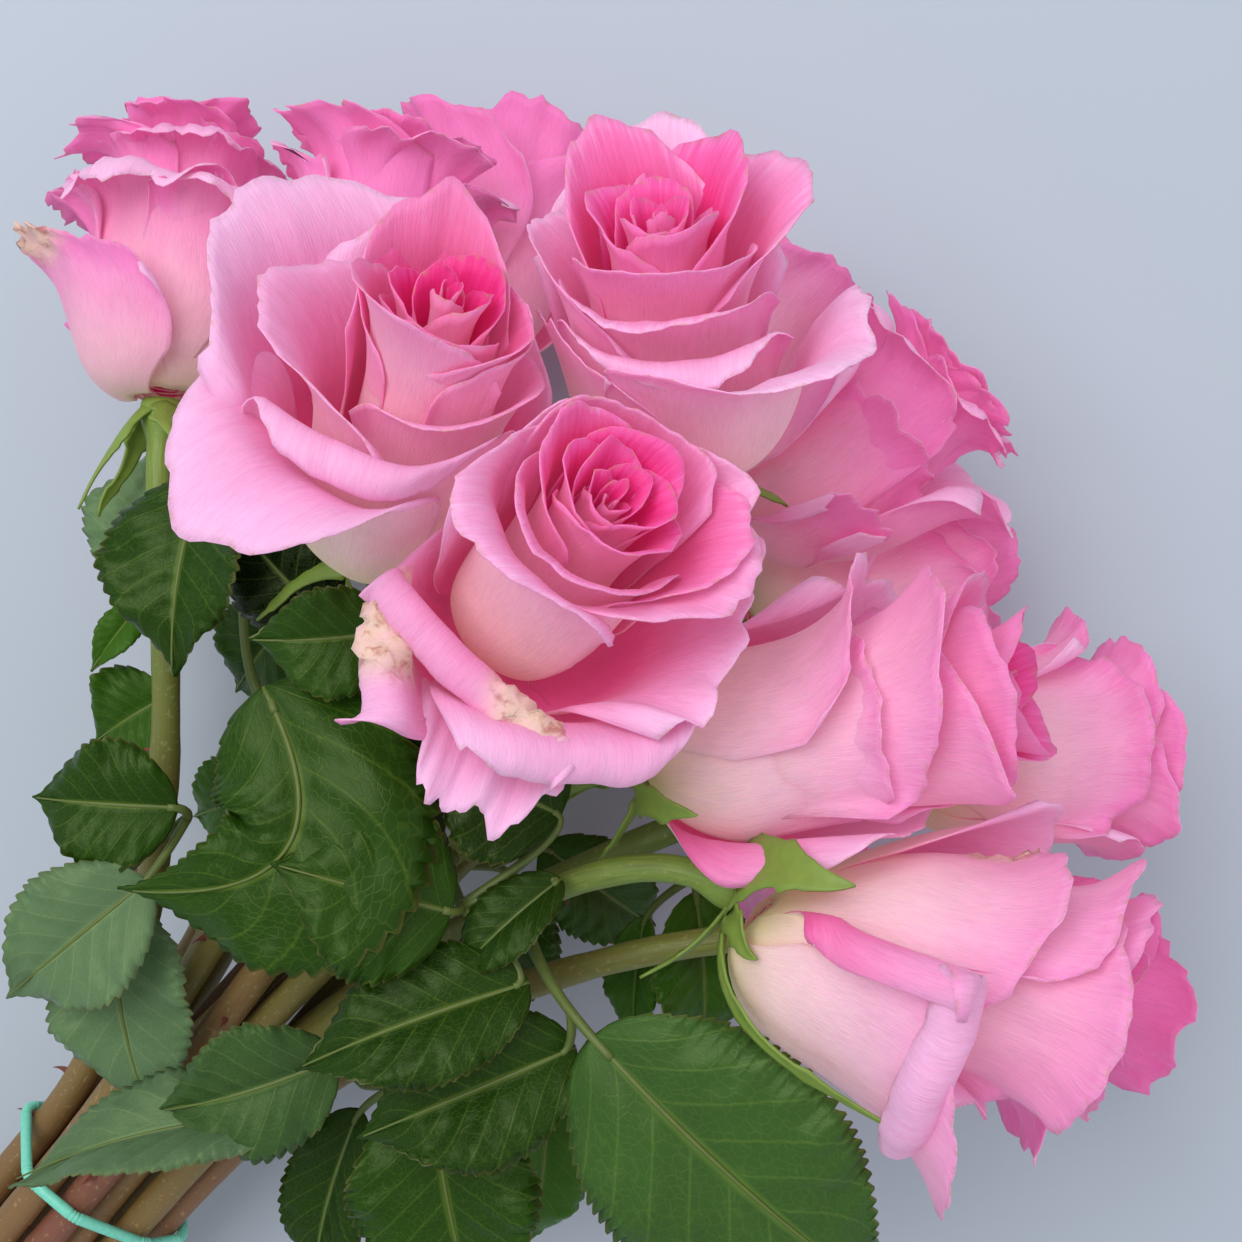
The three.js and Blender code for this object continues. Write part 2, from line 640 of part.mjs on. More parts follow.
// A closed elastic cord pulled tight round the packed stems.
function tieSolid() {
  const turns = 20;
  const reach = STEM_RADIUS + CLEARANCE + TIE_RADIUS;
  const rings = [];
  for (let turn = 0; turn < turns; turn += 1) {
    const angle = (turn / turns) * 2 * Math.PI;
    const outward = ACROSS.clone().multiplyScalar(Math.cos(angle)).addScaledVector(ABOVE, Math.sin(angle));
    const furthest = ROSES.reduce((best, rose) => (rose.place.dot(outward) > best.place.dot(outward) ? rose : best));
    const middle = TIE_POINT.clone().add(furthest.place).addScaledVector(outward, reach);
    for (let corner = 0; corner < TIE_SIDES; corner += 1) {
      const round = (corner / TIE_SIDES) * 2 * Math.PI;
      const point = middle.clone().addScaledVector(outward, TIE_RADIUS * Math.cos(round));
      rings.push(point.addScaledVector(ALONG, -TIE_RADIUS * Math.sin(round)));
    }
  }
  const triangles = [];
  for (let turn = 0; turn < turns; turn += 1) {
    for (let corner = 0; corner < TIE_SIDES; corner += 1) {
      const here = turn * TIE_SIDES;
      const next = ((turn + 1) % turns) * TIE_SIDES;
      const beside = (corner + 1) % TIE_SIDES;
      triangles.push([here + corner, here + beside, next + beside]);
      triangles.push([here + corner, next + beside, next + corner]);
    }
  }
  return solidFrom(rings, triangles);
}

// ---- the bunch ----------------------------------------------------------------------------------------

const TABLE = solidFromGeometry(new THREE.BoxGeometry(900, 900, 100).translate(0, 0, -50));

const PETAL = new THREE.MeshStandardMaterial({ color: 0xf09ac0, roughness: 0.6, metalness: 0 });
const STEM = new THREE.MeshStandardMaterial({ color: 0x8a7a3c, roughness: 0.6, metalness: 0 });
const LEAF = new THREE.MeshStandardMaterial({ color: 0x2f5f24, roughness: 0.4, metalness: 0 });
const ELASTIC = new THREE.MeshStandardMaterial({ color: 0x7fe0c4, roughness: 0.5, metalness: 0 });

const bunch = new THREE.Group();

function addPiece(name, solid, material) {
  const mesh = new THREE.Mesh(turned(solid), material);
  mesh.name = name;
  bunch.add(mesh);
}

// Cuts from a solid what it shares with any of the others, which are given with their clearance.
function clearOf(solid, others) {
  let clear = solid;
  for (const other of others) {
    if (clear.intersect(other).volume() > 0) clear = largest(clear.subtract(other));
  }
  return clear;
}

const stemRoom = ROSES.map((rose) => stemSolid(rose, CLEARANCE));
const calyxRoom = ROSES.map((rose) => calyxSolid(rose, CLEARANCE));
const bloomRoom = [];
for (const rose of ROSES) {
  const bloom = clearOf(largest(bloomSolid(rose).subtract(TABLE)), [...stemRoom, ...bloomRoom]);
  bloomRoom.push(bloomSolid(rose, CLEARANCE), bloom);
  addPiece(`rose_${rose.name}_bloom`, bloom, PETAL);
}
ROSES.forEach((rose, index) => {
  const sepals = clearOf(calyxSolid(rose), stemRoom.filter((_, other) => other !== index));
  const stem = largest(stemSolid(rose).add(sepals).subtract(TABLE));
  const earlier = [...stemRoom.slice(0, index), ...calyxRoom.slice(0, index)];
  addPiece(`rose_${rose.name}_stem`, clearOf(stem, [...bloomRoom, ...earlier]), STEM);
});
for (const leaf of LEAVES) {
  const blade = largest(leafSolid(leaf).subtract(TABLE));
  addPiece(`leaf_${leaf.name}`, clearOf(blade, [...bloomRoom, ...stemRoom, ...calyxRoom]), LEAF);
}
addPiece('elastic_tie', tieSolid(), ELASTIC);

export default bunch;
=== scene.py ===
"""A hand-tied bunch of fifteen pink garden roses lying on its side: petals, stems, leaves and elastic cord.

The bunch is laid out in millimetres as it is seen from straight above, x to the right, y up the picture
and z over the table, and to_frame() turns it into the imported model's own frame, in metres.
"""

import math

import bpy
import numpy as np
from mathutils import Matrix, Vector


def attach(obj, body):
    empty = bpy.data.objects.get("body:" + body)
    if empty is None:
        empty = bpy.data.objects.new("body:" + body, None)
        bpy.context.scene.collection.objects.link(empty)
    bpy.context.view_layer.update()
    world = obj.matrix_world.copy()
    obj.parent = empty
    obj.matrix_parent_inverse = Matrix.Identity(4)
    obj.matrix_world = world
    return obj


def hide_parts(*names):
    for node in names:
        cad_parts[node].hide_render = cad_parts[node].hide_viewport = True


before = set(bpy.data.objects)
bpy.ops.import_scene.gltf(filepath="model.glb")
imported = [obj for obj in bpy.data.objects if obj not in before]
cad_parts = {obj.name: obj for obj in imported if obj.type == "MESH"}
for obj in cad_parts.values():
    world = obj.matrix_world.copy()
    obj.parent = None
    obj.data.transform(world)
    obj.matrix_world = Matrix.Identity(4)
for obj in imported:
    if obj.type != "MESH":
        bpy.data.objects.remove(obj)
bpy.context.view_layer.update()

# ---- driving dimensions, in millimetres and degrees ------------------------------------------------------

HEADING = math.radians(50)  # which way the stems run over the table
RISE = math.radians(8.8)  # how steeply they climb from their cut ends
TIE_POINT = np.array([-131, -140, 44.8])  # middle of the bundle at its tie
TIE_RADIUS = 1.3  # elastic cord
CUT_LENGTH = 160  # from the tie down to the cut ends
CUT_STAGGER = 5  # how unevenly the ends are cut
STEM_RADIUS = 4.4
STEM_PITCH = 9.6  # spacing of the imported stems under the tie
NECK_RADIUS = 3.2  # a stem just below its hip
HIP_LENGTH = 11
HIP_RADIUS = 5.2
CLEARANCE = 0.3
SEPALS = 5
SEPAL_WIDTH = 3.4  # half of it, where the sepal leaves the hip
PRICKLES = 5
GOLDEN_ANGLE = 137.5  # from one petal to the next inner one
PETAL_FOOT = 0.05  # where a petal starts, as a share of its length
PETAL_THICKNESS = 0.75
PETAL_THINNING = 0.45  # how much of it is lost towards the rim
HALF_PETAL = 0.4  # room for half a petal's thickness
FRAYED = 2  # blooms ruffled more than this flare only at their tips, and are ragged
STALK_RADIUS = 1.5  # of a compound leaf
LEAF_THICKNESS = 0.45
TOOTH_PITCH = 2.6  # of the leaflets' serrated edges
SIDE_VEINS = 8
VEIN_SLANT = 2.2  # how many veins' spacing a vein climbs on its way to the edge
INNER_BEND = 0.42  # how much a leaflet narrows on the inner side of a sharp bend
PRESS_DEPTH = 9  # over what depth a soft piece gives way to what it meets
LOWEST_PETAL = -2  # the height towards which the table presses what would lie lower
LOWEST_LEAF = 0.1
BOX_MIDDLE = np.array([-129, 8, 0])  # where the frame's origin lies in the view, once that is turned

# The studio, in metres, but for the lens and the sensor, in millimetres.
CAMERA_HEIGHT = 0.492
CAMERA_LENS = 51.07
CAMERA_SENSOR = 36
FLOOR_SIZE = 6
LIT_POINT = (0.05, 0, 0.08)
SKY_STRENGTH = 0.67
# Each soft light: its place in the view, in millimetres, then its size in metres and its power.
LIGHTS = {"window": ((-350, 320, 1000), 0.7, 6.4), "fill": ((600, -100, 600), 1.2, 1.1)}

# Name, crown, way it faces, head length, openness, turn (which seeds its draws too), outer petals where none
# is listed, and place in the imported bundle; then how ruffled its rims are, how deep its pink is (0 pale, 1
# deep), how many petals it has inside, how hollow its heart is and how high its petals' tips stand, as a
# share of the head length.
ROSES = [
    ("a", (-3, 22, 168), (0.35, 0.4, 0.85), 60, 0.75, 250, 4, (-1, 2), 1.0, 0.34, 18, 0.14, 1.0),
    ("b", (-33, 61, 160), (0.25, 0.65, 0.72), 68, 0.6, 200, 4, (0, 2), 0.8, 0.2, 13, 0.0, 1.02),
    ("c", (7, 79, 150), (-0.05, 0.75, 0.66), 60, 0.6, 330, 4, (0, 1), 1.2, 0.42, 14, 0.06, 1.04),
    ("d", (-105, 111, 66), (0.05, 0.98, -0.15), 60, 0.5, 100, 3, (2, 0), 2.4, 0.7, 14, 0.0, 1.12),
    ("e", (-55, 111, 76), (0.1, 0.97, -0.1), 58, 0.45, 30, 3, (1, 0), 2.4, 0.95, 14, 0.0, 1.02),
    ("f", (-24, 123, 30), (0.25, 0.9, -0.28), 58, 0.4, 75, 3, (2, -2), 2.0, 0.9, 13, 0.0, 1.0),
    ("g", (77, 57, 80), (0.78, 0.62, 0.1), 60, 0.45, 140, 3, (0, 0), 2.2, 0.85, 14, 0.0, 1.02),
    ("h", (85, 18, 46), (0.9, 0.38, -0.2), 58, 0.45, 210, 3, (-1, -1), 1.6, 0.5, 12, 0.0, 1.08),
    ("i", (77, -16, 125), (0.93, 0.2, 0.3), 76, 0.45, 300, 4, (-1, 1), 1.2, 0.35, 13, 0.1, 1.12),
    ("j", (126, -29, 68), (0.97, 0.1, -0.2), 62, 0.5, 20, 3, (-1, 0), 1.4, 0.45, 12, 0.1, 0.98),
    ("k", (98, -81, 121), (0.94, -0.3, 0.12), 76, 0.4, 110, 4, (-2, 1), 1.0, 0.3, 12, 0.1, 1.06),
    ("l", (121, -88, 75), (0.97, -0.2, -0.15), 62, 0.5, 280, 3, (-2, 0), 2.4, 1.0, 14, 0.0, 0.98),
    ("m", (45, 90, 45), (0.55, 0.8, -0.2), 58, 0.5, 160, 3, (1, -1), 1.6, 0.5, 12, 0.1, 0.95),
    ("n", (-80, 85, 27), (-0.1, 0.93, -0.28), 56, 0.4, 60, 3, (2, -1), 1.6, 0.6, 12, 0.1, 0.95),
    ("o", (58, -53, 20), (0.85, -0.42, -0.3), 58, 0.45, 230, 3, (0, -1), 1.6, 0.5, 12, 0.1, 0.95),
]

# How far a bloom's petals are swayed off its axis at the height of its crown.
SWAY = {"a": (4, 4, 0)}

# The sepals that lie along a bloom instead of bending back: side of the bloom in degrees (as for the petals
# below), length, breadth as a share of the usual one, and gap to the bloom at the tip.
CLINGING_SEPALS = {
    "i": [(285, 32, 2.4, 2)],
    "k": [(248, 36, 2.8, 2), (326, 64, 0.85, 4), (290, 20, 1.8, 1)],
}

# Each compound leaf: its stem and how far up it the leaf grows (0 at the tie, 1 at the hip), then its
# leaflets: base, tip, width and what is unusual. Lean tips a leaflet over towards x and y, fold lifts its two
# halves, bend arches it, via is a point that it bends round, tone lightens its green, and pale (0 to 1) gives
# it the grey-green of its underside: partly the real underside, partly a painted sheen of the sky on top.
LEAVES = [
    ("front_curled", "b", 0.7, [
        ((-76, -14, 118), (-108, -57, 118), 58, dict(via=(-70, -48, 125), bend=0.02, fold=0.1)),
        ((-71, -15, 108), (-38, -49, 106), 38, dict(lean=(-0.2, 0.2), tone=0.0)),
        ((-48, -2, 122), (-78, -4, 124), 24, dict(lean=(0, -0.3), tone=0.35)),
    ]),
    ("left_low", "d", 0.42, [
        ((-100, -42, 95), (-134, -40, 92), 30, dict(tone=0.4)),
        ((-106, -58, 98), (-140, -86, 92), 32, dict(pale=0.6)),
        ((-118, -64, 84), (-108, -120, 80), 36, dict(fold=0.1, lean=(-0.3, 0.2), pale=0.6)),
    ]),
    ("left_edge", "k", 0.22, [
        ((-72, -112, 92), (-139, -127, 94), 26, dict(fold=0.5, lean=(0, 1.1), pale=0.5)),
        ((-64, -98, 97), (-104, -110, 97), 32, dict(lean=(0, -0.2), pale=0.15)),
    ]),
    ("middle", "i", 0.66, [
        ((-36, -62, 117), (-72, -50, 129), 38, dict(lean=(0.2, 0.1), fold=0.15)),
        ((-20, -78, 112), (-70, -96, 115), 30, dict(fold=0.3, lean=(0, 0.4))),
        ((-13, -56, 110), (-38, -80, 110), 16, dict(fold=0.4, lean=(-0.3, 0.4))),
        ((-13, -42, 110), (-42, -27, 114), 32, dict(tone=0.1)),
    ]),
    ("right_large", "k", 0.66, [
        ((-6, -89, 116), (60, -150, 106), 56, dict(fold=0.15, lean=(0, -0.15), tone=0.5, pale=0.1)),
        ((-10, -93, 108), (-58, -113, 108), 34, dict(lean=(0, 0.2))),
    ]),
    ("bottom", "l", 0.3, [
        ((-43, -108, 92), (-34, -158, 84), 44, dict(lean=(-0.1, 0))),
        ((-62, -116, 74), (-75, -164, 60), 24, dict(lean=(-0.4, 0))),
        ((-18, -112, 66), (-24, -158, 50), 26, dict(lean=(0.4, 0), tone=0.9)),
    ]),
    ("right_hanging", "j", 0.72, [
        ((18, -66, 66), (20, -106, 56), 28, dict(lean=(0.3, 0), tone=0.8)),
        ((6, -72, 62), (4, -108, 52), 14, dict(fold=0.5, lean=(-0.5, 0), tone=0.8)),
    ]),
    ("left_upper", "d", 0.66, [
        ((-119, 8, 58), (-113, 46, 56), 28, dict(lean=(-0.3, 0), pale=0.7)),
        ((-116, 4, 66), (-127, -12, 70), 10, dict(fold=0.5, tone=0.8)),
        ((-110, -18, 62), (-130, -30, 58), 26, dict(lean=(-0.2, 0), tone=0.8)),
    ]),
    ("under_b", "e", 0.74, [
        ((-92, 31, 104), (-98, -12, 108), 36, dict(lean=(-0.3, 0), tone=0.25)),
        ((-64, 0, 104), (-86, 24, 104), 28, dict(fold=0.1, lean=(-0.2, -0.2), tone=0)),
    ]),
    ("back_left", "n", 0.62, [
        ((-100, 42, 46), (-116, 20, 40), 24, dict(lean=(-0.4, 0), tone=0.7)),
        ((-82, 6, 34), (-106, -20, 10), 28, {}),
    ]),
    ("below_left", "n", 0.36, [
        ((-78, -36, 24), (-98, -72, 5), 28, {}),
        ((-88, -42, 28), (-118, -54, 8), 26, dict(tone=0.6)),
    ]),
    ("below_middle", "o", 0.5, [
        ((-28, -66, 34), (-34, -108, 8), 30, {}),
        ((-20, -58, 36), (10, -84, 10), 28, dict(tone=0.6)),
    ]),
    ("below_right", "m", 0.7, [
        ((-14, 4, 28), (-50, 6, 6), 28, {}),
        ((-4, -8, 28), (16, -36, 8), 26, dict(tone=0.3)),
    ]),
]

# ---- small helpers ---------------------------------------------------------------------------------------


def unit(vector):
    return vector / np.linalg.norm(vector, axis=-1, keepdims=True)


def smooth(value, low, high):
    share = np.clip((np.asarray(value, float) - low) / (high - low), 0, 1)
    return share * share * (3 - 2 * share)


def seeded_random(seed):
    """The same even draws as the solids' own, so that sepals and cut ends match."""
    state = seed

    def draw():
        nonlocal state
        state = (state * 1664525 + 1013904223) % 4294967296
        return state / 4294967296

    return draw


def waves(position, seed, slowest=1.0, octaves=3):
    """A smooth wavy line, about -1 to 1, with the given number of slowest waves per unit."""
    draws = np.random.default_rng(seed)
    total = np.zeros_like(np.asarray(position, float))
    for octave in range(octaves):
        pitch = slowest * 1.9**octave * draws.uniform(0.8, 1.2)
        total = total + 0.6**octave * np.sin(2 * math.pi * (pitch * position + draws.uniform()))
    return total / 1.6


def to_frame(points):
    """From the laid-out view, in millimetres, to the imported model's frame, in metres."""
    cosine, sine = math.cos(HEADING), math.sin(HEADING)
    x = points[..., 0] * cosine + points[..., 1] * sine
    y = points[..., 1] * cosine - points[..., 0] * sine
    return (np.stack([x, y, points[..., 2]], axis=-1) - BOX_MIDDLE) / 1000


def rows_of_quads(rows, columns, wrap=False):
    """Corner numbers of the quads of a grid of points, rows by columns."""
    across = columns if wrap else columns - 1
    row, column = np.meshgrid(np.arange(rows - 1), np.arange(across), indexing="ij")
    here = row * columns + column
    beside = row * columns + (column + 1) % columns
    return np.stack([here, beside, beside + columns, here + columns], axis=-1).reshape(-1, 4)


class Skin:
    """Collects the sheets and tubes of one piece, with the values that its material reads."""

    def __init__(self):
        self.points, self.faces, self.values, self.slots = [], [], {}, []
        self.count = 0

    def add(self, points, faces, slot=0, **values):
        flat = points.reshape(-1, 3)
        self.points.append(flat)
        self.faces.extend((np.asarray(faces) + self.count).tolist())
        self.slots.extend([slot] * len(faces))
        for name in values:
            if name not in self.values:
                self.values[name] = [np.zeros(self.count)] if self.count else []
        for name, parts in self.values.items():
            value = values.get(name, 0.0)
            parts.append(np.broadcast_to(value, points.shape[:-1]).reshape(-1).astype(float))
        self.count += len(flat)

    def sheet(self, points, thickness, slot=0, **values):
        """A sheet given by a grid of points, closed into a thin solid."""
        rows, columns = points.shape[:2]
        normal = unit(np.cross(np.gradient(points, axis=1), np.gradient(points, axis=0)) + 1e-9)
        offset = normal * np.broadcast_to(thickness, (rows, columns))[..., None] / 2
        quads = rows_of_quads(rows, columns)
        count = rows * columns
        grid = np.arange(count).reshape(rows, columns)
        rim = np.concatenate([grid[0, :], grid[1:, -1], grid[-1, -2::-1], grid[-2:0:-1, 0]])
        after = np.roll(rim, -1)
        edge = np.stack([rim, rim + count, after + count, after], axis=-1)
        faces = np.concatenate([quads, quads[:, ::-1] + count, edge])
        both = {name: np.broadcast_to(value, (rows, columns)) for name, value in values.items()}
        both = {name: np.stack([value, value]) for name, value in both.items()}
        face = np.stack([np.ones((rows, columns)), np.zeros((rows, columns))])
        self.add(np.stack([points + offset, points - offset]), faces, slot, upper=face, **both)

    def tube(self, line, radii, sides=12, slot=0, flatten=1.0, **values):
        """A round tube along a line of points, its ends closed by a fan."""
        tangent = unit(np.gradient(line, axis=0))
        reference = np.array([0.0, 0, 1]) if abs(tangent[0, 2]) < 0.8 else np.array([1.0, 0, 0])
        normals = []
        for direction in tangent:
            side = unit(np.cross(reference, direction))
            reference = np.cross(direction, side)
            normals.append((side, reference))
        side, normal = (np.array(part)[:, None, :] for part in zip(*normals))
        angle = np.linspace(0, 2 * math.pi, sides, endpoint=False)[None, :, None]
        radius = np.broadcast_to(radii, (len(line),))[:, None, None]
        ring = line[:, None, :] + radius * (np.cos(angle) * side + flatten * np.sin(angle) * normal)
        rows = len(line)
        quads = rows_of_quads(rows, sides, wrap=True)
        caps = [list(range(sides))[::-1], [(rows - 1) * sides + corner for corner in range(sides)]]
        turn = np.broadcast_to(angle[..., 0] / (2 * math.pi), (rows, sides))
        spread = {}
        for name, value in {"along": np.linspace(0, 1, rows), **values}.items():
            spread[name] = np.broadcast_to(np.reshape(value, (-1, 1)), (rows, sides))
        self.add(ring, quads, slot, turn=turn, **spread)
        first = self.count - rows * sides
        self.faces.extend([[corner + first for corner in cap] for cap in caps])
        self.slots.extend([slot, slot])

    def piece(self, name, node, materials):
        """Makes the Blender object, which stands for the CAD node."""
        mesh = bpy.data.meshes.new(name)
        mesh.from_pydata(to_frame(np.concatenate(self.points)).tolist(), [], self.faces)
        for value, parts in self.values.items():
            layer = mesh.attributes.new(value, "FLOAT", "POINT")
            layer.data.foreach_set("value", np.concatenate(parts).astype(np.float32))
        mesh.polygons.foreach_set("use_smooth", [True] * len(mesh.polygons))
        for material in materials:
            mesh.materials.append(material)
        mesh.polygons.foreach_set("material_index", self.slots)
        mesh.validate()
        made = bpy.data.objects.new(name, mesh)
        bpy.context.scene.collection.objects.link(made)
        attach(made, "root")
        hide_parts(node)
        return made


# ---- materials -------------------------------------------------------------------------------------------


def colour(code):
    """A colour from its #rrggbb code, as Blender's linear values."""
    parts = [int(code[place : place + 2], 16) / 255 for place in (1, 3, 5)]
    return [*(part / 12.92 if part <= 0.04045 else ((part + 0.055) / 1.055) ** 2.4 for part in parts), 1]


class Nodes:
    """A short way to write a material's node tree."""

    def __init__(self, name):
        self.material = bpy.data.materials.new(name)
        self.material.use_nodes = True
        self.tree = self.material.node_tree
        self.shader = self.tree.nodes["Principled BSDF"]

    def add(self, kind, inputs=(), **settings):
        node = self.tree.nodes.new(kind)
        for name, value in settings.items():
            setattr(node, name, value)
        for place, value in dict(inputs).items():
            self.join(value, node.inputs[place])
        return node

    def join(self, value, socket):
        if isinstance(value, bpy.types.NodeSocket):
            self.tree.links.new(value, socket)
        elif value is not None:
            socket.default_value = value

    def value(self, name):
        return self.add("ShaderNodeAttribute", attribute_name=name).outputs["Fac"]

    def math(self, operation, *values, clamp=False):
        node = self.add("ShaderNodeMath", operation=operation, use_clamp=clamp)
        for place, value in enumerate(values):
            self.join(value, node.inputs[place])
        return node.outputs[0]

    def times(self, first, second):
        return self.math("MULTIPLY", first, second)

    def plus(self, first, second, clamp=False):
        return self.math("ADD", first, second, clamp=clamp)

    def less(self, first, second, clamp=False):
        return self.math("SUBTRACT", first, second, clamp=clamp)

    def mix(self, amount, first, second, blend="MIX"):
        node = self.add("ShaderNodeMix", data_type="RGBA", blend_type=blend)
        self.join(amount, node.inputs[0])
        self.join(first, node.inputs[6])
        self.join(second, node.inputs[7])
        return node.outputs[2]

    def ramp(self, value, *stops):
        node = self.add("ShaderNodeValToRGB", {0: value})
        elements = node.color_ramp.elements
        while len(elements) < len(stops):
            elements.new(0.5)
        for element, (place, code) in zip(elements, stops):
            element.position = place
            element.color = colour(code) if isinstance(code, str) else (code, code, code, 1)
        return node.outputs[0]

    def combine(self, x, y, z):
        return self.add("ShaderNodeCombineXYZ", {0: x, 1: y, 2: z}).outputs[0]

    def noise(self, vector, scale, detail=3.0, roughness=0.5):
        inputs = {"Vector": vector, "Scale": scale, "Detail": detail, "Roughness": roughness}
        return self.add("ShaderNodeTexNoise", inputs).outputs["Fac"]

    def object_place(self):
        return self.add("ShaderNodeTexCoord").outputs["Object"]

    def bump(self, height, strength, distance):
        inputs = {"Strength": strength, "Distance": distance, "Height": height}
        self.join(self.add("ShaderNodeBump", inputs).outputs[0], self.shader.inputs["Normal"])

    def set(self, **inputs):
        for name, value in inputs.items():
            self.join(value, self.shader.inputs[name.replace("_", " ")])
        return self.material


def petal_material():
    """Pink petals: creamy at their foot, deeper pink with painted shade towards the heart, streaked and a
    little bruised.
    """
    n = Nodes("rose_petal")
    along, side, rank, tone = (n.value(name) for name in ("along", "side", "rank", "tone"))
    upper, pink = n.value("upper"), n.value("pink")
    fan = n.combine(n.times(side, 3.0), n.times(along, 0.5), n.times(tone, 40.0))
    streak = n.noise(fan, 9.0, 4.0, 0.6)
    cloud = n.noise(n.object_place(), 90.0, 3.0)
    ripe = n.times(n.less(pink, 0.45), 0.45)
    broken = n.plus(n.plus(along, ripe), n.times(n.less(streak, 0.5), 0.22))
    # Inner petals and the lower faces are painted deep magenta: partly their own deeper pink, partly painted
    # shade in the heart.
    inside = n.less(1.0, n.ramp(rank, (0.38, 0.0), (0.95, 1.0)), clamp=True)
    sunk_and_shade = n.less(broken, n.times(n.ramp(rank, (0.2, 1.0), (0.6, 0.0)), 0.1))
    pale_back = ((0.06, "#e6dca0"), (0.3, "#f0d4ca"), (0.58, "#f2c8d4"), (0.88, "#f2aed4"), (1.0, "#f08ac4"))
    deep_back = ((0.1, "#f2b8bc"), (0.4, "#f288b8"), (0.8, "#ee58a4"), (1.0, "#f07cbc"))
    pale_face = ((0.3, "#ee68a8"), (0.6, "#f09ccc"), (0.85, "#f2bae0"), (1.0, "#f4c8e8"))
    # The deep face ramp is darkest at the foot and lighter at the rim: painted shade deep in the cup, over
    # the deeper pink.
    deep_face_and_shade = ((0.5, "#d4085c"), (0.78, "#e42c80"), (0.92, "#f05ca8"), (1.0, "#f48cc4"))
    back_deepness = n.plus(n.times(inside, 0.36), n.times(pink, 0.6), clamp=True)
    face_deepness_and_shade = n.plus(n.times(inside, 0.95), n.times(pink, 0.5), clamp=True)
    back = n.mix(back_deepness, n.ramp(broken, *pale_back), n.ramp(sunk_and_shade, *deep_back))
    face = n.mix(face_deepness_and_shade, n.ramp(broken, *pale_face), n.ramp(sunk_and_shade, *deep_face_and_shade))
    base = n.mix(upper, face, back)
    vein = n.ramp(n.noise(fan, 34.0, 3.0, 0.6), (0.35, 0.86), (0.55, 1.0), (0.75, 1.05))
    base = n.mix(0.55, base, vein, "MULTIPLY")
    base = n.mix(0.5, base, n.ramp(cloud, (0.35, 0.9), (0.65, 1.04)), "MULTIPLY")
    speck = n.noise(n.object_place(), 420.0, 4.0, 0.7)
    blotch = n.times(n.ramp(speck, (0.66, 0.0), (0.72, 1.0)), n.ramp(cloud, (0.5, 0.0), (0.62, 1.0)))
    edge = n.times(n.ramp(along, (0.98, 0.0), (1.0, 1.0)), n.ramp(speck, (0.5, 0.0), (0.6, 1.0)))
    bruised = n.plus(n.times(blotch, 0.1), n.times(edge, 0.45), clamp=True)
    papery = n.noise(n.object_place(), 260.0, 4.0, 0.6)
    dry = n.ramp(papery, (0.35, "#b07c58"), (0.48, "#e2c6a8"), (0.7, "#f0c8c0"))
    base = n.mix(n.times(n.value("worn"), 0.85), base, dry)
    base = n.mix(bruised, base, colour("#b98a5e"))
    n.bump(n.plus(n.noise(fan, 40.0, 3.0), n.times(cloud, 1.2)), 0.35, 0.0006)
    n.set(Base_Color=base, Roughness=0.55, Specular_IOR_Level=0.25, Sheen_Weight=0.08, Sheen_Roughness=0.4)
    # A painted glow: the petals give off a little light of their own, which stands for the light that comes
    # through the thin petals and lifts the shade deep in the blooms.
    n.set(Emission_Color=base, Emission_Strength=0.12)
    return n.set(Subsurface_Weight=0.2, Subsurface_Radius=(1.0, 0.3, 0.45), Subsurface_Scale=0.002)


def leaf_material():
    """Dark glossy leaflets with paler veins, a grey-green underside and a thin brown margin."""
    n = Nodes("rose_leaf")
    along, side, tone, pale = (n.value(name) for name in ("along", "side", "tone", "pale"))
    upper = n.value("upper")
    reach = n.math("ABSOLUTE", side)
    ribs = n.less(n.times(along, float(SIDE_VEINS)), n.times(reach, VEIN_SLANT))
    to_rib = n.math("ABSOLUTE", n.less(n.math("FRACT", ribs), 0.5))
    rib = n.ramp(to_rib, (0.0, 1.0), (0.06, 0.0))
    midrib = n.ramp(reach, (0.02, 1.0), (0.07, 0.0))
    mesh_place = n.combine(n.times(side, 0.4), along, tone)
    cells = n.add("ShaderNodeTexVoronoi", {"Vector": mesh_place, "Scale": 34.0}, feature="DISTANCE_TO_EDGE")
    net = n.ramp(cells.outputs["Distance"], (0.0, 1.0), (0.07, 0.0))
    veins = n.plus(n.times(rib, 0.4), n.times(net, 0.26), clamp=True)
    veins = n.math("MAXIMUM", veins, midrib)
    cloud = n.noise(n.object_place(), 60.0, 3.0)
    green = n.mix(tone, colour("#061602"), colour("#386616"))
    green = n.mix(0.6, green, n.ramp(cloud, (0.3, 0.75), (0.7, 1.15)), "MULTIPLY")
    top = n.mix(n.times(veins, 0.32), green, colour("#86a03a"))
    under = n.mix(n.times(veins, 0.45), colour("#74936a"), colour("#a8bd88"))
    # Pale leaflets show the underside's grey-green on top too: partly their real underside, partly painted
    # sky sheen.
    shown = n.mix(n.math("MAXIMUM", n.less(1.0, upper), pale), top, under)
    margin = n.times(n.ramp(reach, (0.96, 0.0), (1.0, 1.0)), 0.4)
    n.set(Base_Color=n.mix(margin, shown, colour("#7a6a3a")), Roughness=0.34, Specular_IOR_Level=0.24)
    n.set(Specular_Tint=(0.8, 1.0, 0.5, 1.0))
    n.bump(n.plus(n.times(veins, -1.0), n.times(cloud, 0.5)), 0.3, 0.0004)
    return n.set(Subsurface_Weight=0.08, Subsurface_Radius=(0.4, 1.0, 0.2), Subsurface_Scale=0.0015)


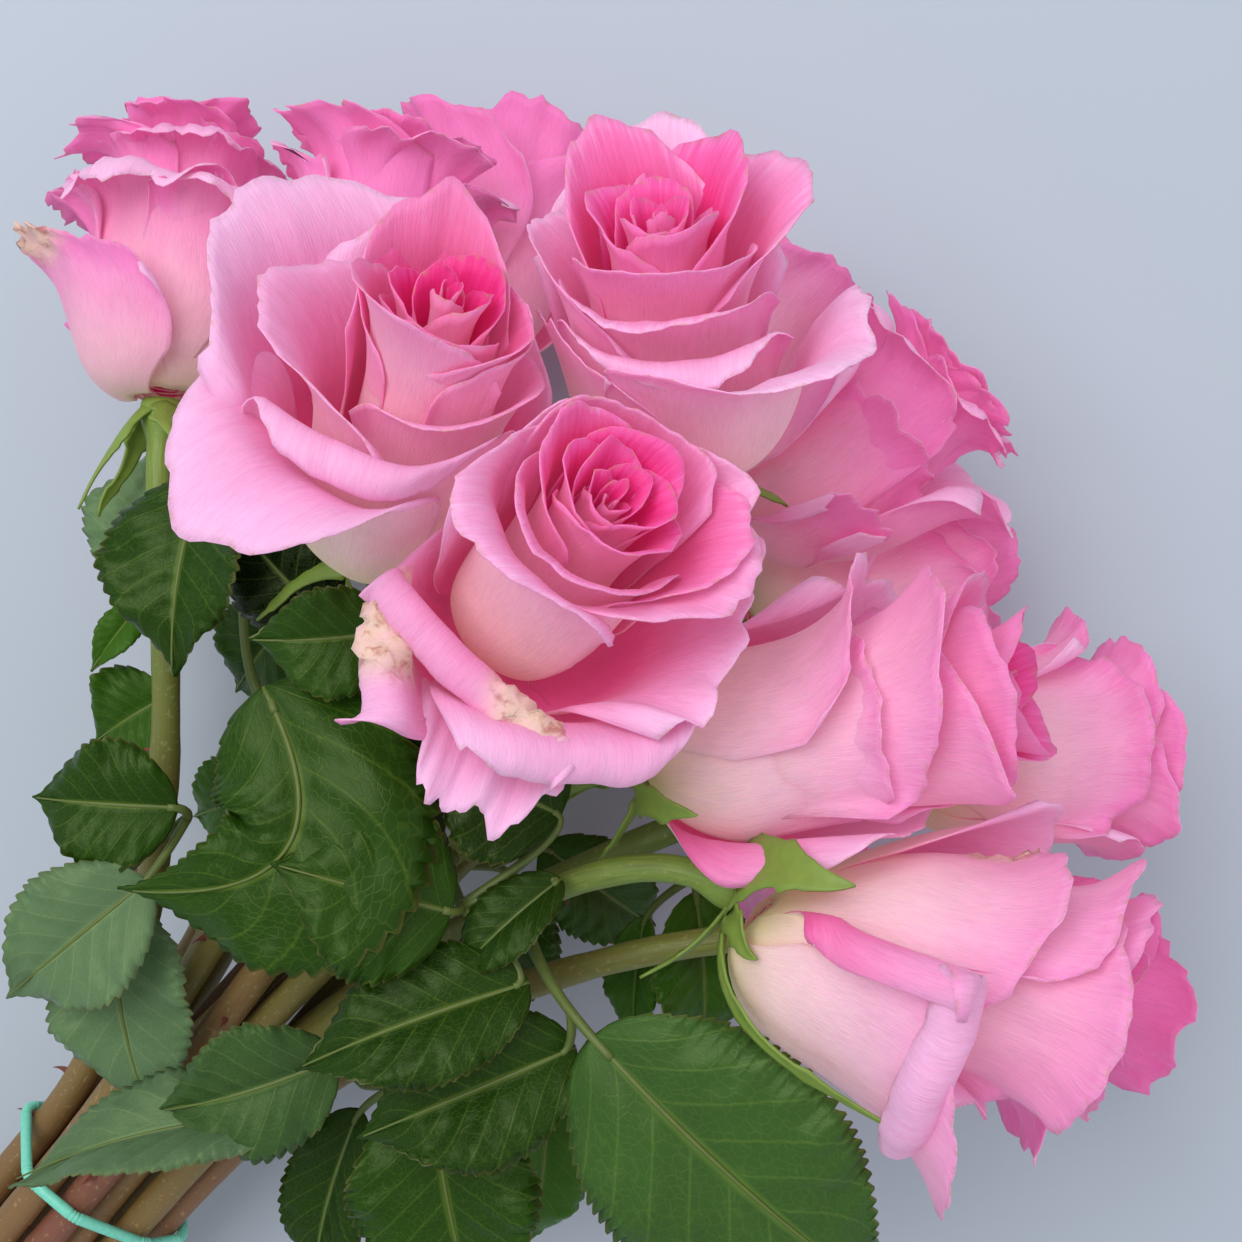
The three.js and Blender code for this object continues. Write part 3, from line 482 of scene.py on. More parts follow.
def stem_material():
    """Stems: brown and woody below, green at the neck, some of them ruddy, streaked and speckled."""
    n = Nodes("rose_stem")
    along, turn, tone = (n.value(name) for name in ("along", "turn", "tone"))
    streak = n.noise(n.combine(n.times(turn, 5.0), n.times(along, 6.0), n.times(tone, 9.0)), 7.0, 4.0, 0.6)
    place = n.plus(along, n.times(n.less(streak, 0.5), 0.35))
    woody = ((0.05, "#6b4632"), (0.35, "#8a6a3c"), (0.6, "#7c7838"), (0.85, "#5f7a30"), (1.0, "#7e9e3e"))
    ruddy = ((0.05, "#5b3230"), (0.5, "#85503c"), (0.8, "#8a7a3c"), (1.0, "#8fa348"))
    base = n.mix(tone, n.ramp(place, *woody), n.ramp(place, *ruddy))
    lenticel = n.ramp(n.noise(n.object_place(), 700.0, 2.0), (0.62, 0.0), (0.7, 1.0))
    base = n.mix(n.times(lenticel, 0.35), base, colour("#b9a878"))
    n.bump(streak, 0.3, 0.0005)
    return n.set(Base_Color=base, Roughness=0.5)


def plain_material(name, code, roughness, grain=300.0, depth=0.0002):
    """One colour with a fine mottled grain."""
    n = Nodes(name)
    spots = n.noise(n.object_place(), grain, 3.0)
    base = n.mix(0.5, colour(code), n.ramp(spots, (0.3, 0.8), (0.7, 1.1)), "MULTIPLY")
    n.bump(spots, 0.3, depth)
    return n.set(Base_Color=base, Roughness=roughness)


PETAL = petal_material()
LEAF = leaf_material()
STEM = stem_material()
PRICKLE = plain_material("prickle", "#7a3b2e", 0.4)
PITH = plain_material("cut_pith", "#cbb98a", 0.8)
SEPAL = plain_material("sepal", "#7f9a3e", 0.5)
RACHIS = plain_material("leaf_stalk", "#5f7030", 0.5)
ELASTIC = plain_material("elastic_cord", "#7fe0c4", 0.45, grain=900.0)

# ---- where each rose stands ------------------------------------------------------------------------------

ALONG = np.array([math.cos(HEADING) * math.cos(RISE), math.sin(HEADING) * math.cos(RISE), math.sin(RISE)])
ACROSS = np.array([-math.sin(HEADING), math.cos(HEADING), 0])
ABOVE = np.cross(ALONG, ACROSS)


class Rose:
    """One rose: where its head and its stem stand, and how it is to be drawn."""

    def __init__(self, name, crown, faces, head, opened, turn, outer, slot, *looks):
        self.name, self.head, self.open, self.turn, self.outer = name, head, opened, turn, outer
        self.ruffle, self.pink, self.inside, self.hollow, self.rise = looks
        self.sway = np.array(SWAY.get(name, (0, 0, 0)), float)
        self.axis = unit(np.array(faces, float))
        self.top = np.array(crown, float)
        self.base = self.top - head * self.axis
        self.middle = self.base + 0.6 * head * self.axis
        self.girth = head * (0.42 + 0.16 * opened)
        self.right = unit(np.cross(self.axis, [0, 0, 1]))
        self.up = np.cross(self.axis, self.right)
        column, row = slot
        across = ACROSS * (column + row / 2) * STEM_PITCH
        self.place = across + ABOVE * row * math.sqrt(3) / 2 * STEM_PITCH

    def at(self, radius, angle, height):
        """The point at a radius and angle (in radians) round the rose's axis and a height up it."""
        radius, angle, height = np.broadcast_arrays(radius, angle, height)
        outward = np.cos(angle)[..., None] * self.right + np.sin(angle)[..., None] * self.up
        return self.base + height[..., None] * self.axis + radius[..., None] * outward


ROSES = {row[0]: Rose(*row) for row in ROSES}


def pressed_back(distance, reach):
    """A soft point's distance from a plane that it comes near or past: it is held just short of it."""
    beyond = -reach * np.exp(-(np.maximum(distance, -reach) + reach) / reach)
    return np.where(distance < -reach, distance, beyond)


def above_table(points, lowest, least):
    """A soft piece comes no lower than the table: it is pressed towards lowest and cut off at least."""
    low = lowest - pressed_back(lowest - points[..., 2], PRESS_DEPTH)
    points[..., 2] = np.maximum(low, least)
    return points


def make_room(rose, points):
    """A bloom gives way to its neighbours and to the table, as its solid does."""
    for other in ROSES.values():
        if other is rose:
            continue
        between = other.middle - rose.middle
        plane = rose.middle + between * rose.girth / (rose.girth + other.girth)
        outward = unit(between)
        distance = (points - plane) @ outward + CLEARANCE + HALF_PETAL
        points = points + (pressed_back(distance, PRESS_DEPTH) - distance)[..., None] * outward
    return above_table(points, LOWEST_PETAL, 0.3)


# ---- petals ----------------------------------------------------------------------------------------------

PROFILE_STEPS = 40
FULL_CURL = 3.6  # the furthest that a side edge rolls, in radians
MIDDLE_RANK = 0.74  # the rank of the outermost of the petals inside
OUTER_GRID = (26, 37)
INNER_GRID = (18, 23)
ROLLED_ROWS = 40

# The petals of the blooms that are seen best, from the outermost in. Each has its side of the bloom in
# degrees (0 to the right of a bloom that points up the picture, 90 away from the camera, 270 towards it),
# its rank (1 the outer ring, 0 the heart), its lean and flare, and what else is unusual. Angles are in
# degrees and the rest in shares of the usual size: lean tips all of it out, flare bends it out from
# flare_from up, roll curls its rim over from roll_from up, point sharpens its tip, curl rolls its two sides
# back from curl_from up, round an edge of this radius in millimetres, ruffle crinkles it (in millimetres),
# flat opens it out, tall is the height of its tip as a share of the head's, and wither dries and crumples
# it round a place on its side (-1 to 1) and length.
PLACED_PETALS = {
    "a": [
        (290, 1.0, 34, 66, dict(ruffle=3.4, width=0.55, length=0.84)),
        (222, 1.0, 18, 14, dict(roll=320, roll_from=0.64, ruffle=0.5, flat=0.9, width=1.2,
            wither=(0.35, 0.7))),
        (14, 1.0, 14, 66, dict(ruffle=4.0, point=0.1, length=1.0)),
        (317, 0.98, 20, 56, dict(roll=150, roll_from=0.78, ruffle=0.8, flat=0.5)),
        (149, 0.95, 4, 36, dict(ruffle=1.2, point=0.12, length=1.04)),
        (269, 0.92, 16, 14, dict(roll=320, roll_from=0.66, ruffle=0.4, flat=0.8, wither=(0.5, 0.6))),
        (84, 0.86, 0, 40, dict(ruffle=1.4, tall=1)),
        (236, 0.8, 0, 42, dict(roll=40, ruffle=0.8, width=1.1, curl=(0.1, 0.24), tall=0.98)),
        (4, 0.78, 0, 44, dict(ruffle=0.9, width=1.2, curl=(0.05, 0.1), tall=0.92)),
        (117, 0.7, 0, 40, dict(ruffle=1.2, tall=1.05)),
        (267, 0.64, 0, 30, dict(ruffle=0.5, width=1.1, tall=0.98)),
        (25, 0.6, 6, 22, dict(ruffle=0.6, tall=0.94)),
        (170, 0.52, -2, 22, dict(ruffle=0.6, tall=1.02)),
    ],
    "b": [
        (243, 1.0, 5, 92, dict(ruffle=0.5, width=1.08, point=0.14)),
        (154, 1.0, 6, 40, dict(ruffle=0.6, width=1.2, length=1.1)),
        (84, 0.95, 4, 36, dict(ruffle=1.0, width=1.1, length=1.06)),
        (279, 0.9, 6, 14, dict(roll=210, roll_from=0.8, ruffle=0.4, flat=0.5, width=1.1)),
        (196, 0.84, 2, 34, dict(ruffle=0.7, tall=0.88)),
        (328, 0.74, 0, 30, dict(roll=50, ruffle=0.5, width=1.1, tall=0.84)),
        (110, 0.62, -2, 10, dict(ruffle=0.8, point=0.08, tall=1.1)),
        (24, 0.64, -1, 14, dict(ruffle=0.5, tall=1.0)),
        (238, 0.6, -3, 14, dict(ruffle=0.3, width=1.5, point=0.1, tall=1.06)),
    ],
    "c": [
        (304, 1.0, 12, 44, dict(ruffle=1.8, width=1.5)),
        (210, 0.98, 12, 60, dict(ruffle=2.4, width=0.8, length=0.9)),
        (84, 0.95, 2, 20, dict(ruffle=0.5, point=0.16, width=1.1, length=1.04)),
        (262, 0.9, 6, 24, dict(roll=130, roll_from=0.78, ruffle=0.5)),
        (174, 0.82, 2, 30, dict(ruffle=0.8)),
        (257, 0.76, 3, 30, dict(roll=50, ruffle=0.8, width=1.15, tall=0.88)),
        (24, 0.7, 2, 40, dict(ruffle=0.8, width=1.1, tall=1.02)),
        (271, 0.62, 1, 26, dict(ruffle=0.5, width=1.2, tall=1.0)),
        (116, 0.56, 0, 16, dict(ruffle=0.6, point=0.1, tall=1.1)),
        (37, 0.5, 0, 14, dict(ruffle=0.6, point=0.1, tall=1.08)),
    ],
    "d": [
        (216, 1.0, 21, 12, dict(ruffle=0.8, curl=(0.3, 0.3), length=0.66, point=0.2, wither=(0.0, 1.16))),
        (250, 0.95, -4, 140, dict(flare_from=0.66, width=1.1)),
        (335, 0.95, -3, 150, dict(flare_from=0.62, width=1.1)),
        (150, 0.92, -4, 110, dict(flare_from=0.64)),
        (45, 0.9, -3, 90, dict(flare_from=0.66)),
        (285, 0.78, -4, 120, dict(flare_from=0.74, length=1.2)),
        (190, 0.74, -4, 100, dict(flare_from=0.72, length=1.22)),
        (20, 0.7, -4, 90, dict(flare_from=0.74, length=1.22)),
        (110, 0.66, -4, 60, dict(flare_from=0.74, length=1.24)),
        (260, 0.6, -4, 90, dict(flare_from=0.78, length=1.28)),
        (330, 0.52, -4, 60, dict(flare_from=0.78, length=1.3)),
    ],
    "g": [
        (296, 1.0, 36, 0, dict(width=0.62, curl=(0.8, 0.8), edge=5, ruffle=0.3, length=0.62,
            curl_from=0.0)),
        (275, 1.0, -3, 40, dict(flare_from=0.72, ruffle=1.2, width=1.4, tall=0.7)),
        (170, 0.98, 0, 70, dict(flare_from=0.7, width=1.2, tall=0.78)),
        (20, 0.95, 6, 90, dict(flare_from=0.64, width=1.2, length=1.08)),
        (225, 0.86, -4, 90, dict(flare_from=0.72, length=1.08, width=1.2)),
        (310, 0.8, -4, 90, dict(flare_from=0.74, length=1.12, width=1.2)),
        (90, 0.76, -4, 80, dict(flare_from=0.7, length=1.1)),
        (255, 0.68, -4, 70, dict(flare_from=0.76, length=1.16)),
    ],
    "h": [
        (215, 1.0, 10, 0, dict(width=0.8, curl=(0.8, 0.8), edge=5, ruffle=0.3, length=0.8)),
        (300, 1.0, 2, 60, dict(flare_from=0.66, width=1.2)),
        (150, 0.95, 2, 60, dict(flare_from=0.66, length=1.1)),
        (30, 0.9, 2, 60, dict(flare_from=0.66, length=1.1)),
        (250, 0.82, 4.152, 60, dict(flare_from=0.7, length=1.1, width=1.2)),
    ],
    "i": [
        (8, 1.0, 3, 16, dict(ruffle=0.8, length=0.84, curl=(0.4, 0.1), edge=6, width=1.1, curl_from=0.0)),
        (120, 0.98, 0, 20, dict(ruffle=1.0, width=1.2, length=0.85)),
        (262, 0.95, -3, 40, dict(flare_from=0.7, ruffle=1.1, width=1.5, curl=(0.05, 0.05), tall=0.74)),
        (195, 0.9, 0, 46, dict(ruffle=1.2, width=0.8, tall=0.74)),
        (232, 0.8, 0, 26, dict(ruffle=0.6, width=1.3, point=0.14, tall=0.9)),
        (60, 0.78, 0, 26, dict(ruffle=0.8, width=1.2, tall=0.9)),
        (300, 0.7, 0, 24, dict(ruffle=0.5, width=1.3, point=0.12, tall=0.98)),
        (160, 0.62, 0, 20, dict(ruffle=0.6, width=1.1, tall=1.02)),
        (265, 0.54, 0, 26, dict(ruffle=0.6, width=1.1, tall=1.08)),
    ],
    "j": [
        (250, 1.0, 0, 40, dict(flare_from=0.7, ruffle=1.2, width=1.5, tall=0.78)),
        (150, 1.0, 0, 40, dict(ruffle=1.6, width=1.2, length=0.9)),
        (20, 0.96, 2, 60, dict(flare_from=0.66, ruffle=1.6, width=1.2)),
        (310, 0.86, 0, 50, dict(flare_from=0.7, width=1.2, tall=0.88)),
        (200, 0.8, 0, 50, dict(flare_from=0.7, width=1.2, tall=0.9)),
        (270, 0.72, 0, 50, dict(flare_from=0.72, width=1.2, tall=0.94)),
    ],
    "k": [
        (346, 1.0, 13, 12, dict(ruffle=0.8, point=0.14, curl=(0.05, 0.1), width=1.35, length=0.87)),
        (120, 1.0, 4, 34, dict(ruffle=1.0, width=1.2)),
        (304, 0.98, 5, 6, dict(roll=250, roll_from=0.72, ruffle=0.9, curl=(0.55, 0.04), edge=5.4,
            width=1.3, curl_from=0.0, length=1.0)),
        (222, 0.92, 2, 26, dict(flare_from=0.66, ruffle=0.8, width=1.35, point=0.1, curl=(0.1, 0.05),
            tall=0.76, wither=(-0.8, 0.95))),
        (60, 0.86, 0, 40, dict(ruffle=1.2, width=1.2)),
        (180, 0.8, 0, 36, dict(flare_from=0.66, ruffle=1.4, width=1.2, tall=1.0)),
        (275, 0.74, 0, 36, dict(flare_from=0.66, ruffle=1.4, width=1.3, tall=1.02)),
    ],
    "l": [
        (330, 1.0, 8, 70, dict(flare_from=0.6, width=1.2, length=0.84)),
        (200, 1.0, 2, 64, dict(flare_from=0.66, width=1.2, length=0.84)),
        (260, 0.95, 0, 70, dict(flare_from=0.68, width=1.3, length=0.84)),
        (60, 0.92, 2, 64, dict(flare_from=0.64, width=1.2, length=0.84)),
        (300, 0.84, -4, 64, dict(flare_from=0.7, width=1.3, length=0.92)),
        (220, 0.76, -4, 64, dict(flare_from=0.72, width=1.3, length=0.94)),
        (140, 0.74, -4, 64, dict(flare_from=0.7, length=0.94)),
    ],
}


def profile(rose, rank, along, form):
    """Radius and height of a petal's middle line: out from the hip, up round the cup, flared and rolled."""
    length = rose.head * (0.88 + 0.2 * rank) * form["length"]
    cup = 30 + 58 * math.sqrt(rank)
    cup_end = 0.24 + 0.28 * rank**3
    radius = 1.5 + 3.5 * rank + 0 * along
    height = 1 + 0 * along
    for step in range(PROFILE_STEPS):
        part = along * (step + 0.5) / PROFILE_STEPS
        angle = cup * np.maximum(1 - part / cup_end, 0) ** 1.4 + form["lean"]
        angle = angle + form["flare"] * smooth(part, form["flare_from"], 1)
        rolled = form["roll"] * np.maximum(part - form["roll_from"], 0) / (1 - form["roll_from"])
        angle = np.radians(angle + rolled)
        radius = radius + length * along / PROFILE_STEPS * np.sin(angle)
        height = height + length * along / PROFILE_STEPS * np.cos(angle)
    return np.maximum(radius, 0.8), height


def petal_form(rose, rank, changes):
    """How a petal of this rank is bent, where nothing else is said of it."""
    form = {
        "length": 1,
        "width": 1,
        "lean": -7 + (10 + 8 * rose.open) * rank,
        "flare": (20 + 75 * rose.open) * rank * rank,
        "flare_from": 0.5,
        "roll": 20,
        "roll_from": 0.84,
        "point": 0.03,
        "curl": (0.22 * rank, 0.22 * rank),
        "curl_from": 0.3,
        "edge": 3.2,
        "ruffle": rose.ruffle * (0.25 + rank),
        "flat": 0,
        "wither": None,
    }
    if rose.ruffle > FRAYED:
        form.update({"lean": -4, "flare": 100 * rank, "flare_from": 0.7, "length": 1.24 - 0.2 * rank})
    form.update(changes)
    if "tall" in form:
        reached = profile(rose, rank, np.ones(1), form)[1][0]
        form["length"] *= form["tall"] * rose.head / reached
    return form


def rim_of(rose, petal, side):
    """How far up the petal reaches at each side: rounded, pointed in the middle and a little ragged."""
    reach = np.abs(side)
    ragged = (0.028 if rose.ruffle > FRAYED else 0.012) * waves(side, petal["seed"] + 5, 2.5)
    rounded = 1 - 0.2 * reach**2.4 + petal["form"]["point"] * (1 - reach) ** 2
    return rounded + ragged * (0.3 + petal["rank"])


def curled_back(form, side, part, half):
    """The sides rolled back: how far across and how far outward that leaves each point."""
    left, right = form["curl"]
    full_at = 0.95 if form["curl_from"] else 0.5
    share = np.where(side < 0, left, right) * smooth(part, form["curl_from"], full_at)
    arc = half * np.abs(side)
    still = half * (1 - share)
    turned = np.minimum(np.maximum(arc - still, 0) / form["edge"], FULL_CURL)
    across = np.minimum(arc, still) + form["edge"] * np.sin(turned)
    return np.sign(side) * across, form["edge"] * (1 - np.cos(turned))


def withered(form, side, along):
    """How dry the petal is, 0 to 1, at each point."""
    if not form["wither"]:
        return 0 * side * along
    place, height = form["wither"]
    return 1 - smooth(np.hypot((side - place) / 0.45, (along - height) / 0.3), 0.5, 1.0)


def petal_points(rose, petal, rows, columns):
    """A petal's grid of points, with how far along it each is and how withered."""
    rank, form, seed = petal["rank"], petal["form"], petal["seed"]
    side = np.linspace(-1, 1, columns)[None, :]
    along = np.linspace(PETAL_FOOT, 1, rows)[:, None] + 0 * side
    part = along * rim_of(rose, petal, side)
    radius, height = profile(rose, rank, part, form)
    half = rose.head * (0.3 + 0.22 * rank) * form["width"]
    half = half * np.sin(np.minimum(part / 0.66, 1) * math.pi / 2) ** 0.7
    most = math.radians(150 - 80 * rank) * (0.55 + 0.45 * np.minimum(part / 0.4, 1))
    spread = np.minimum(half / radius, most)
    across, outward = curled_back(form, side, part, half)
    middle = math.radians(petal["angle"])
    angle = middle + across / half * spread
    ruffle = form["ruffle"] * smooth(part, 0.55, 1)
    ripple = waves(side + 0.15 * part, seed, 0.9)
    ripple = ripple + 0.35 * smooth(part, 0.8, 1) * waves(side, seed + 3, 3.2)
    out = petal["out"] * part + outward + ruffle * ripple + 1.3 * side * smooth(part, 0.1, 0.5)
    tall = height - 0.35 * outward + 0.7 * ruffle * waves(side, seed + 9, 1.3)
    worn = withered(form, side, part)
    out = out + 1.6 * (worn * waves(1.7 * side + 2.3 * part, seed + 21, 2.6, 4))
    tall = tall + 1.2 * worn * waves(2.1 * part - 1.4 * side, seed + 22, 2.8, 4)
    out = np.maximum(radius + out, 0.6)
    points = rose.at(out, angle, tall)
    if form["flat"]:
        middle = np.full_like(angle, middle)
        sideways = rose.at(1 + 0 * middle, middle + math.pi / 2, 0 * middle) - rose.base
        opened = rose.at(out, middle, tall) + across[..., None] * sideways
        flatness = (form["flat"] * smooth(part, 0.15, 0.7))[..., None]
        points = points + flatness * (opened - points)
    points = points + rose.sway * (tall / rose.head)[..., None]
    return make_room(rose, points), along, worn


def petals_of(rose):
    """All of a bloom's petals from the outermost in; those not listed keep the golden angle."""
    draws = np.random.default_rng(rose.turn)
    petals = []

    def add(angle, rank, changes, out):
        petals.append({
            "rank": rank,
            "angle": angle,
            "out": out,
            "seed": int(draws.integers(1 << 30)),
            "tone": draws.uniform(),
            "form": petal_form(rose, rank, changes),
        })

    placed = PLACED_PETALS.get(rose.name, [])
    for angle, rank, lean, flare, changes in placed:
        add(angle, rank, {"lean": lean, "flare": flare, **changes}, 0)
    if not placed:
        for index in range(rose.outer):
            rank = 1 - 0.22 * index / (rose.outer - 1)
            add(rose.turn + index * GOLDEN_ANGLE, rank, {}, 2.4 * draws.uniform())
    first = min(petals[-1]["rank"] - 0.04, MIDDLE_RANK)
    turn = petals[-1]["angle"]
    count = round(rose.inside * first / MIDDLE_RANK)
    for index in range(count):
        rank = first * (1 - index / count) ** 0.9
        curl = 0.12 * rank * draws.uniform(0.6, 1.6)
        tip = rose.rise - rose.hollow * (1 - rank / first) + draws.uniform(-0.015, 0.015)
        wrap = 1 + 0.9 * max(0.45 - rank, 0)
        ruffle = 0.3 + rose.ruffle * rank
        turn += GOLDEN_ANGLE + draws.uniform(-12, 12)
        changes = dict(curl=(curl, curl), tall=tip, width=wrap, lean=-8 + 10 * rank, ruffle=ruffle)
        add(turn, rank, changes, 2.0 * draws.uniform() * rank)
    return petals


def petal_grid(petal):
    """Rows and columns of a petal's mesh: finest along it where its rim is rolled over."""
    rows, columns = OUTER_GRID if petal["rank"] > 0.5 else INNER_GRID
    return ROLLED_ROWS if petal["form"]["roll"] > 90 else rows, columns


def make_bloom(rose):
    """All the petals of a head, each a thin closed sheet."""
    skin = Skin()
    for petal in petals_of(rose):
        points, along, worn = petal_points(rose, petal, *petal_grid(petal))
        side = np.linspace(-1, 1, points.shape[1])[None, :]
        values = {"rank": petal["rank"], "tone": petal["tone"], "pink": rose.pink, "worn": worn}
        skin.sheet(points, PETAL_THICKNESS - PETAL_THINNING * along, along=along, side=side, **values)
    return skin.piece(f"rose_{rose.name}_petals", f"rose_{rose.name}_bloom", [PETAL])


# ---- stems, hips and sepals ------------------------------------------------------------------------------

SEPAL_ROWS = 22
PRICKLE_LENGTH = 5.5
PRICKLE_TAPER = np.array([2.0, 1.45, 1.0, 0.7, 0.45, 0.25, 0.06])  # radii along a prickle of that length
PRICKLE_FREE = 14  # so many of a stem's points, at its top, bear none


def bezier(points, part):
    """A Bezier curve with the given control points, at each of the parts along it."""
    part = np.atleast_1d(np.asarray(part, float))[:, None]
    layer = [np.asarray(point, float)[None, :] + 0 * part for point in points]
    while len(layer) > 1:
        layer = [first + (second - first) * part for first, second in zip(layer, layer[1:])]
    return layer[0]


def stem_line(rose, part):
    """The stem's middle line from the tie (0) to the foot of the hip (1)."""
    tie = TIE_POINT + rose.place
    hip = rose.base - HIP_LENGTH * rose.axis
    span = np.linalg.norm(hip - tie)
    return bezier([tie, tie + 0.42 * span * ALONG, hip - 0.17 * span * rose.axis, hip], part)


def stem_radius(part):
    return STEM_RADIUS + (NECK_RADIUS - STEM_RADIUS) * part


def add_prickle(skin, root, outward, downward, length):
    """A prickle, hooked down its stem."""
    tip = root + length * outward + 0.45 * length * downward
    line = bezier([root - 0.8 * outward, root + 0.6 * length * outward, tip], np.linspace(0, 1, 7))
    skin.tube(line, PRICKLE_TAPER * length / PRICKLE_LENGTH, 8, slot=1, tone=0.5)


def add_prickles(skin, rose, line, radii):
    """Prickles on the outer side of the bundle, where they don't reach into the table."""
    draws = np.random.default_rng(rose.turn + 1)
    for _ in range(PRICKLES):
        index = int(draws.uniform(0.04, 0.78) * (len(line) - PRICKLE_FREE))
        tangent = unit(line[index + 1] - line[index])
        free = rose.place + 0.3 * STEM_PITCH * draws.normal(size=3) + 1e-3
        outward = unit(free - tangent * (free @ tangent))
        if line[index, 2] + 12 * outward[2] < 6:
            continue
        root = line[index] + outward * (radii[index] - 0.3)
        add_prickle(skin, root, outward, -tangent, draws.uniform(3.0, 4.8))


def bent_back(out, down):
    """The line of a sepal that curls down off the hip, as radii and heights."""
    control = [(3.5, 0.3, 0), (0.5 * out + 4, -0.25 * down, 0), (out + 3, -down, 0)]
    return bezier(control, np.linspace(0, 1, SEPAL_ROWS))


def clinging(rose, reach, gap):
    """The line of a sepal that lies along the bloom, as radii and heights."""
    run = np.linspace(0, 1, SEPAL_ROWS)
    form = petal_form(rose, 1.0, {"lean": 8, "flare": 0})
    length = rose.head * 1.08
    radius, height = profile(rose, 1.0, run * reach / length, form)
    return np.stack([radius + 1.2 + gap * np.sqrt(run), height - 0.8 * (1 - run), 0 * run], axis=-1)


def add_sepal(skin, rose, line, angle, seed, broad=1.0):
    """A tapering sepal with a few side lobes, keeled along its middle."""
    run = np.linspace(0, 1, SEPAL_ROWS)[:, None]
    side = np.linspace(-1, 1, 7)[None, :]
    width = SEPAL_WIDTH * broad * (1 - run) ** 0.8 + 0.2
    lobe = 1.6 * np.maximum(waves(run, seed, 2.2), 0) * np.sin(math.pi * run)
    sway = 3.0 * waves(run, seed, 0.5) * run
    turned = (side * (width + lobe) + sway) / np.maximum(line[:, :1], 3.5)
    height = line[:, 1:2] - 0.35 * np.abs(side) * np.minimum(width, 4) - 0.6
    local = rose.at(line[:, :1] + 0 * side, angle + turned, height)
    local[..., 2] = np.maximum(local[..., 2], 0.4)
    skin.sheet(local, 0.6, slot=2, along=run, side=side)


def add_sepals(skin, rose):
    random = seeded_random(rose.turn + 31)
    close = CLINGING_SEPALS.get(rose.name, [])
    for clock, reach, broad, gap in close:
        add_sepal(skin, rose, clinging(rose, reach, gap), math.radians(clock), rose.turn, broad)
    for index in range(SEPALS - len(close)):
        reach = 24 + 9 * random()
        bend = math.radians(30 + 50 * random())
        line = bent_back(reach * math.cos(bend), reach * math.sin(bend))
        add_sepal(skin, rose, line, index * 2 * math.pi / SEPALS, rose.turn + index)


def make_stem(rose):
    """A rose's stem from its cut end through the tie to the hip, with prickles and sepals."""
    skin = Skin()
    random = seeded_random(rose.turn)
    stagger = CUT_STAGGER * (2 * random() - 1)
    tone = random()
    cut = TIE_POINT + rose.place + ALONG * (stagger - CUT_LENGTH)
    straight = cut + (TIE_POINT + rose.place - cut) * np.linspace(0, 1, 30)[:-1, None]
    part = np.linspace(0, 1, 44)
    run = np.linspace(0, 1, 12)[1:]
    hip = rose.base + rose.axis * HIP_LENGTH * (run[:, None] - 1)
    swell = NECK_RADIUS + (HIP_RADIUS - NECK_RADIUS + 0.5) * np.sin(run * math.pi * 0.62) ** 1.6
    line = np.concatenate([straight, stem_line(rose, part), hip])
    radii = np.concatenate([np.full(len(straight), STEM_RADIUS), stem_radius(part), swell])
    length = np.concatenate([[0], np.cumsum(np.linalg.norm(np.diff(line, axis=0), axis=1))])
    radii = radii - 0.25 + 0.2 * waves(length / 45, rose.turn, 1.0)
    line[:, 2] = np.maximum(line[:, 2], radii + 0.02)
    skin.tube(line, radii, 16, along=length / length[-1], tone=tone)
    pith = cut + ALONG * np.linspace(-0.15, 0.3, 3)[:, None]
    pith[:, 2] = np.maximum(pith[:, 2], STEM_RADIUS)
    skin.tube(pith, [STEM_RADIUS - 1.0] * 3, 16, slot=3, tone=0)
    add_prickles(skin, rose, line, radii)
    add_sepals(skin, rose)
    materials = [STEM, PRICKLE, SEPAL, PITH]
    return skin.piece(f"rose_{rose.name}_stalk", f"rose_{rose.name}_stem", materials)


# ---- leaves ----------------------------------------------------------------------------------------------

STALK_FOOT = [2.3, 2.2, 2.1, 1.9, 1.7, 1.5]  # radii of the stalk's swollen foot


def midrib_of(leaflet, along):
    """Point, direction and length of a leaflet's midrib."""
    base, tip, _, change = leaflet
    base, tip = np.array(base, float), np.array(tip, float)
    half = (base + tip) / 2
    via = np.array(change["via"], float) if "via" in change else half
    control = 2 * via - half
    part = np.asarray(along, float)[..., None]
    point = (1 - part) ** 2 * base + 2 * part * (1 - part) * control + part**2 * tip
    tangent = unit(2 * (1 - part) * (control - base) + 2 * part * (tip - control))
    fine = bezier([base, control, tip], np.linspace(0, 1, 40))
    return point, tangent, np.linalg.norm(np.diff(fine, axis=0), axis=1).sum()


def leaflet_points(leaflet, along, offset, lift=0.0):
    """Points of a leaflet: so far along it, so far to the side of its midrib and lifted so much."""
    change = leaflet[3]
    point, tangent, length = midrib_of(leaflet, along)
    facing = np.array([*change.get("lean", (0, 0)), 1.0])
    sideways = unit(np.cross(tangent, facing))
    normal = np.cross(sideways, tangent)
    arch = change.get("bend", 0.1) * length * 4 * along * (1 - along)
    height = arch + change.get("fold", 0.4) * np.abs(offset) + lift
    made = point + offset[..., None] * sideways + height[..., None] * normal
    return above_table(made, LOWEST_LEAF, 0.5)


